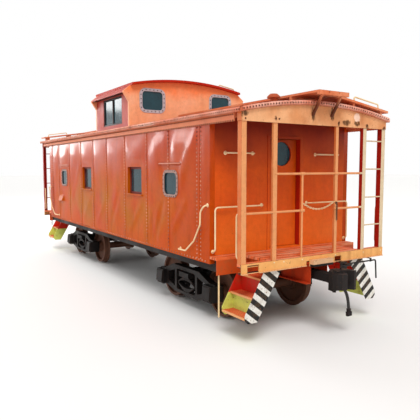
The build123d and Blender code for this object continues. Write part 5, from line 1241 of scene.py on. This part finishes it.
# Pitch across the car, and the bare margins at the inner and the outer edge of the tread
grip_pitch = 0.028
grip_inner_margin = 0.030
grip_outer_margin = 0.025
nosing_in = 0.018
nosing_proud = 0.004
nosing_deep = 0.026
grip_enamel = weathered_enamel(
    "worn_grip_enamel", "#d5542a", "#e08a5a", "#8f4424", "#5c3524", gloss=0.4, dull=0.6, wear=1.2)
nosing_enamel = weathered_enamel(
    "cream_nosing_enamel", "#dc8c54", "#e8b07c", "#a95c30", "#5a3420", gloss=0.4, dull=0.6, wear=1.0)
grips = bmesh.new()
nosings = bmesh.new()
for end in (-1, 1):
    for side in (-1, 1):
        for z, outer, inner in treads:
            for index, x in enumerate(row(*grip_rows)):
                first = inner + grip_inner_margin + (grip_pitch / 2 if index % 2 else 0.0)
                for y in row(first, outer - grip_outer_margin, grip_pitch):
                    rivet_dome(grips, (end * x, side * y, z), (0, 0, 1), grip_r, grip_rise, sides=6)
            xs = sorted((end * tread_from, end * tread_to))
            ys = sorted((side * (outer - nosing_in), side * (outer + nosing_proud)))
            slab(nosings, (xs[0], ys[0], z - nosing_deep), (xs[1], ys[1], z + nosing_proud), soft=0.003)
place_piece("tread_grips", grips, "car", grip_enamel)
place_piece("tread_nosings", nosings, "car", nosing_enamel)

# Running boards: laid planks on saddles along the roof and down the ladder side at each end.
# The iron struts that carry them past the roof's ends have rusted.
strut_from_x = 5.158
strut_half_y = 0.45
strut_top = 3.54
strut_dark = 3.40


def strut_weather(tree, place, colour, rough):
    """The iron struts beyond the roof's ends have rusted dark down to their feet."""
    axes = add(tree, "SeparateXYZ", place).node.outputs
    beyond = add(tree, "Math", axes["X"], operation="ABSOLUTE")
    beyond = add(tree, "Math", beyond, strut_from_x, operation="GREATER_THAN")
    middle = add(tree, "Math", axes["Y"], operation="ABSOLUTE")
    middle = add(tree, "Math", middle, strut_half_y, operation="LESS_THAN")
    under = add(tree, "MapRange", axes["Z"], strut_top, strut_dark, 0.0, 0.9)
    strut = add(tree, "Math", beyond, middle, operation="MULTIPLY")
    strut = add(tree, "Math", strut, under, operation="MULTIPLY")
    return add(tree, "Mix", strut, colour, "#3c1a10", data_type="RGBA"), rough


coat_nodes(
    weathered_enamel(
        "painted_running_board", "#d4683a", "#e09068", "#a4502c", "#5a3622",
        gloss=0.5, dull=0.75, wear=1.2, weather=strut_weather),
    "running_boards")

# Underframe, brake gear, trucks and couplers: hot rolled and cast steel in old black paint.
# Dust settles on top of them and rust comes through everywhere.
frame_black = ("#1d1a19", "#2b2624", "#4a3326", "#5a3a28")
frame_finish = {"gloss": 0.42, "dull": 0.75, "streaks": 0.5, "wear": 1.0}
sprayed_from_x = 4.45
sprayed_full_x = 4.60


def draft_sill_weather(tree, place, colour, rough):
    """The ends of the center sill were sprayed with the body's orange, and have greasy dark patches."""
    reach = add(tree, "Math", add(tree, "SeparateXYZ", place).node.outputs["X"], operation="ABSOLUTE")
    reach = ragged(tree, place, reach, 6.0, 0.12)
    sprayed = add(tree, "MapRange", reach, sprayed_from_x, sprayed_full_x, 0.0, 0.92)
    return add(tree, "Mix", sprayed, colour, "#c03a10", data_type="RGBA"), rough


black_paint = weathered_enamel("old_black_frame_paint", *frame_black, **frame_finish)
draft_sill_paint = weathered_enamel(
    "sprayed_center_sill", *frame_black, **frame_finish, weather=draft_sill_weather)
cast_paint = weathered_enamel(
    "sooty_cast_steel", "#191615", "#241f1e", "#3f2d25", "#54382a",
    gloss=0.35, dull=0.7, streaks=0.4, wear=0.9)
coat_nodes(draft_sill_paint, "center_sill")
coat_nodes(
    black_paint, "side_sills", "crossbearers", "body_bolsters", "coupler_carriers", "floor", "brake_gear",
    "hand_brake", "uncoupling_levers")
coat_nodes(cast_paint, "couplers")
for end in ("a", "b"):
    for part in ("side_frames", "truck_bolster", "leaf_springs", "brake_beams", "glad_hand"):
        coat_nodes(cast_paint, f"{part}_{end}")

# Wheels and axles: cast and forged steel, brown with a rust film all over.
# The film is thin in some places, where the steel shines through a little.


def wheel_rust(tree, shader):
    """Rust film over steel, in clouds from 110 mm across down to specks."""
    place = add(tree, "TexCoord").node.outputs["Object"]
    cover = add(tree, "TexNoise", place, 9.0, 8.0, 0.65)
    colour = add(tree, "Mix", cover, "#3a2820", "#7c4a30", data_type="RGBA")
    tree.links.new(colour, shader.inputs["Base Color"])
    tree.links.new(add(tree, "MapRange", cover, 0.0, 1.0, 0.55, 0.9), shader.inputs["Roughness"])
    shader.inputs["Metallic"].default_value = 0.25
    bump = add(tree, "Bump", 0.35, 0.002, None, cover)
    tree.links.new(bump, shader.inputs["Normal"])


wheel_steel = finish_with("rusty_wheel_steel", wheel_rust)
for pair in ("a1", "a2", "b1", "b2"):
    coat_nodes(wheel_steel, f"wheels_{pair}", f"axle_{pair}")
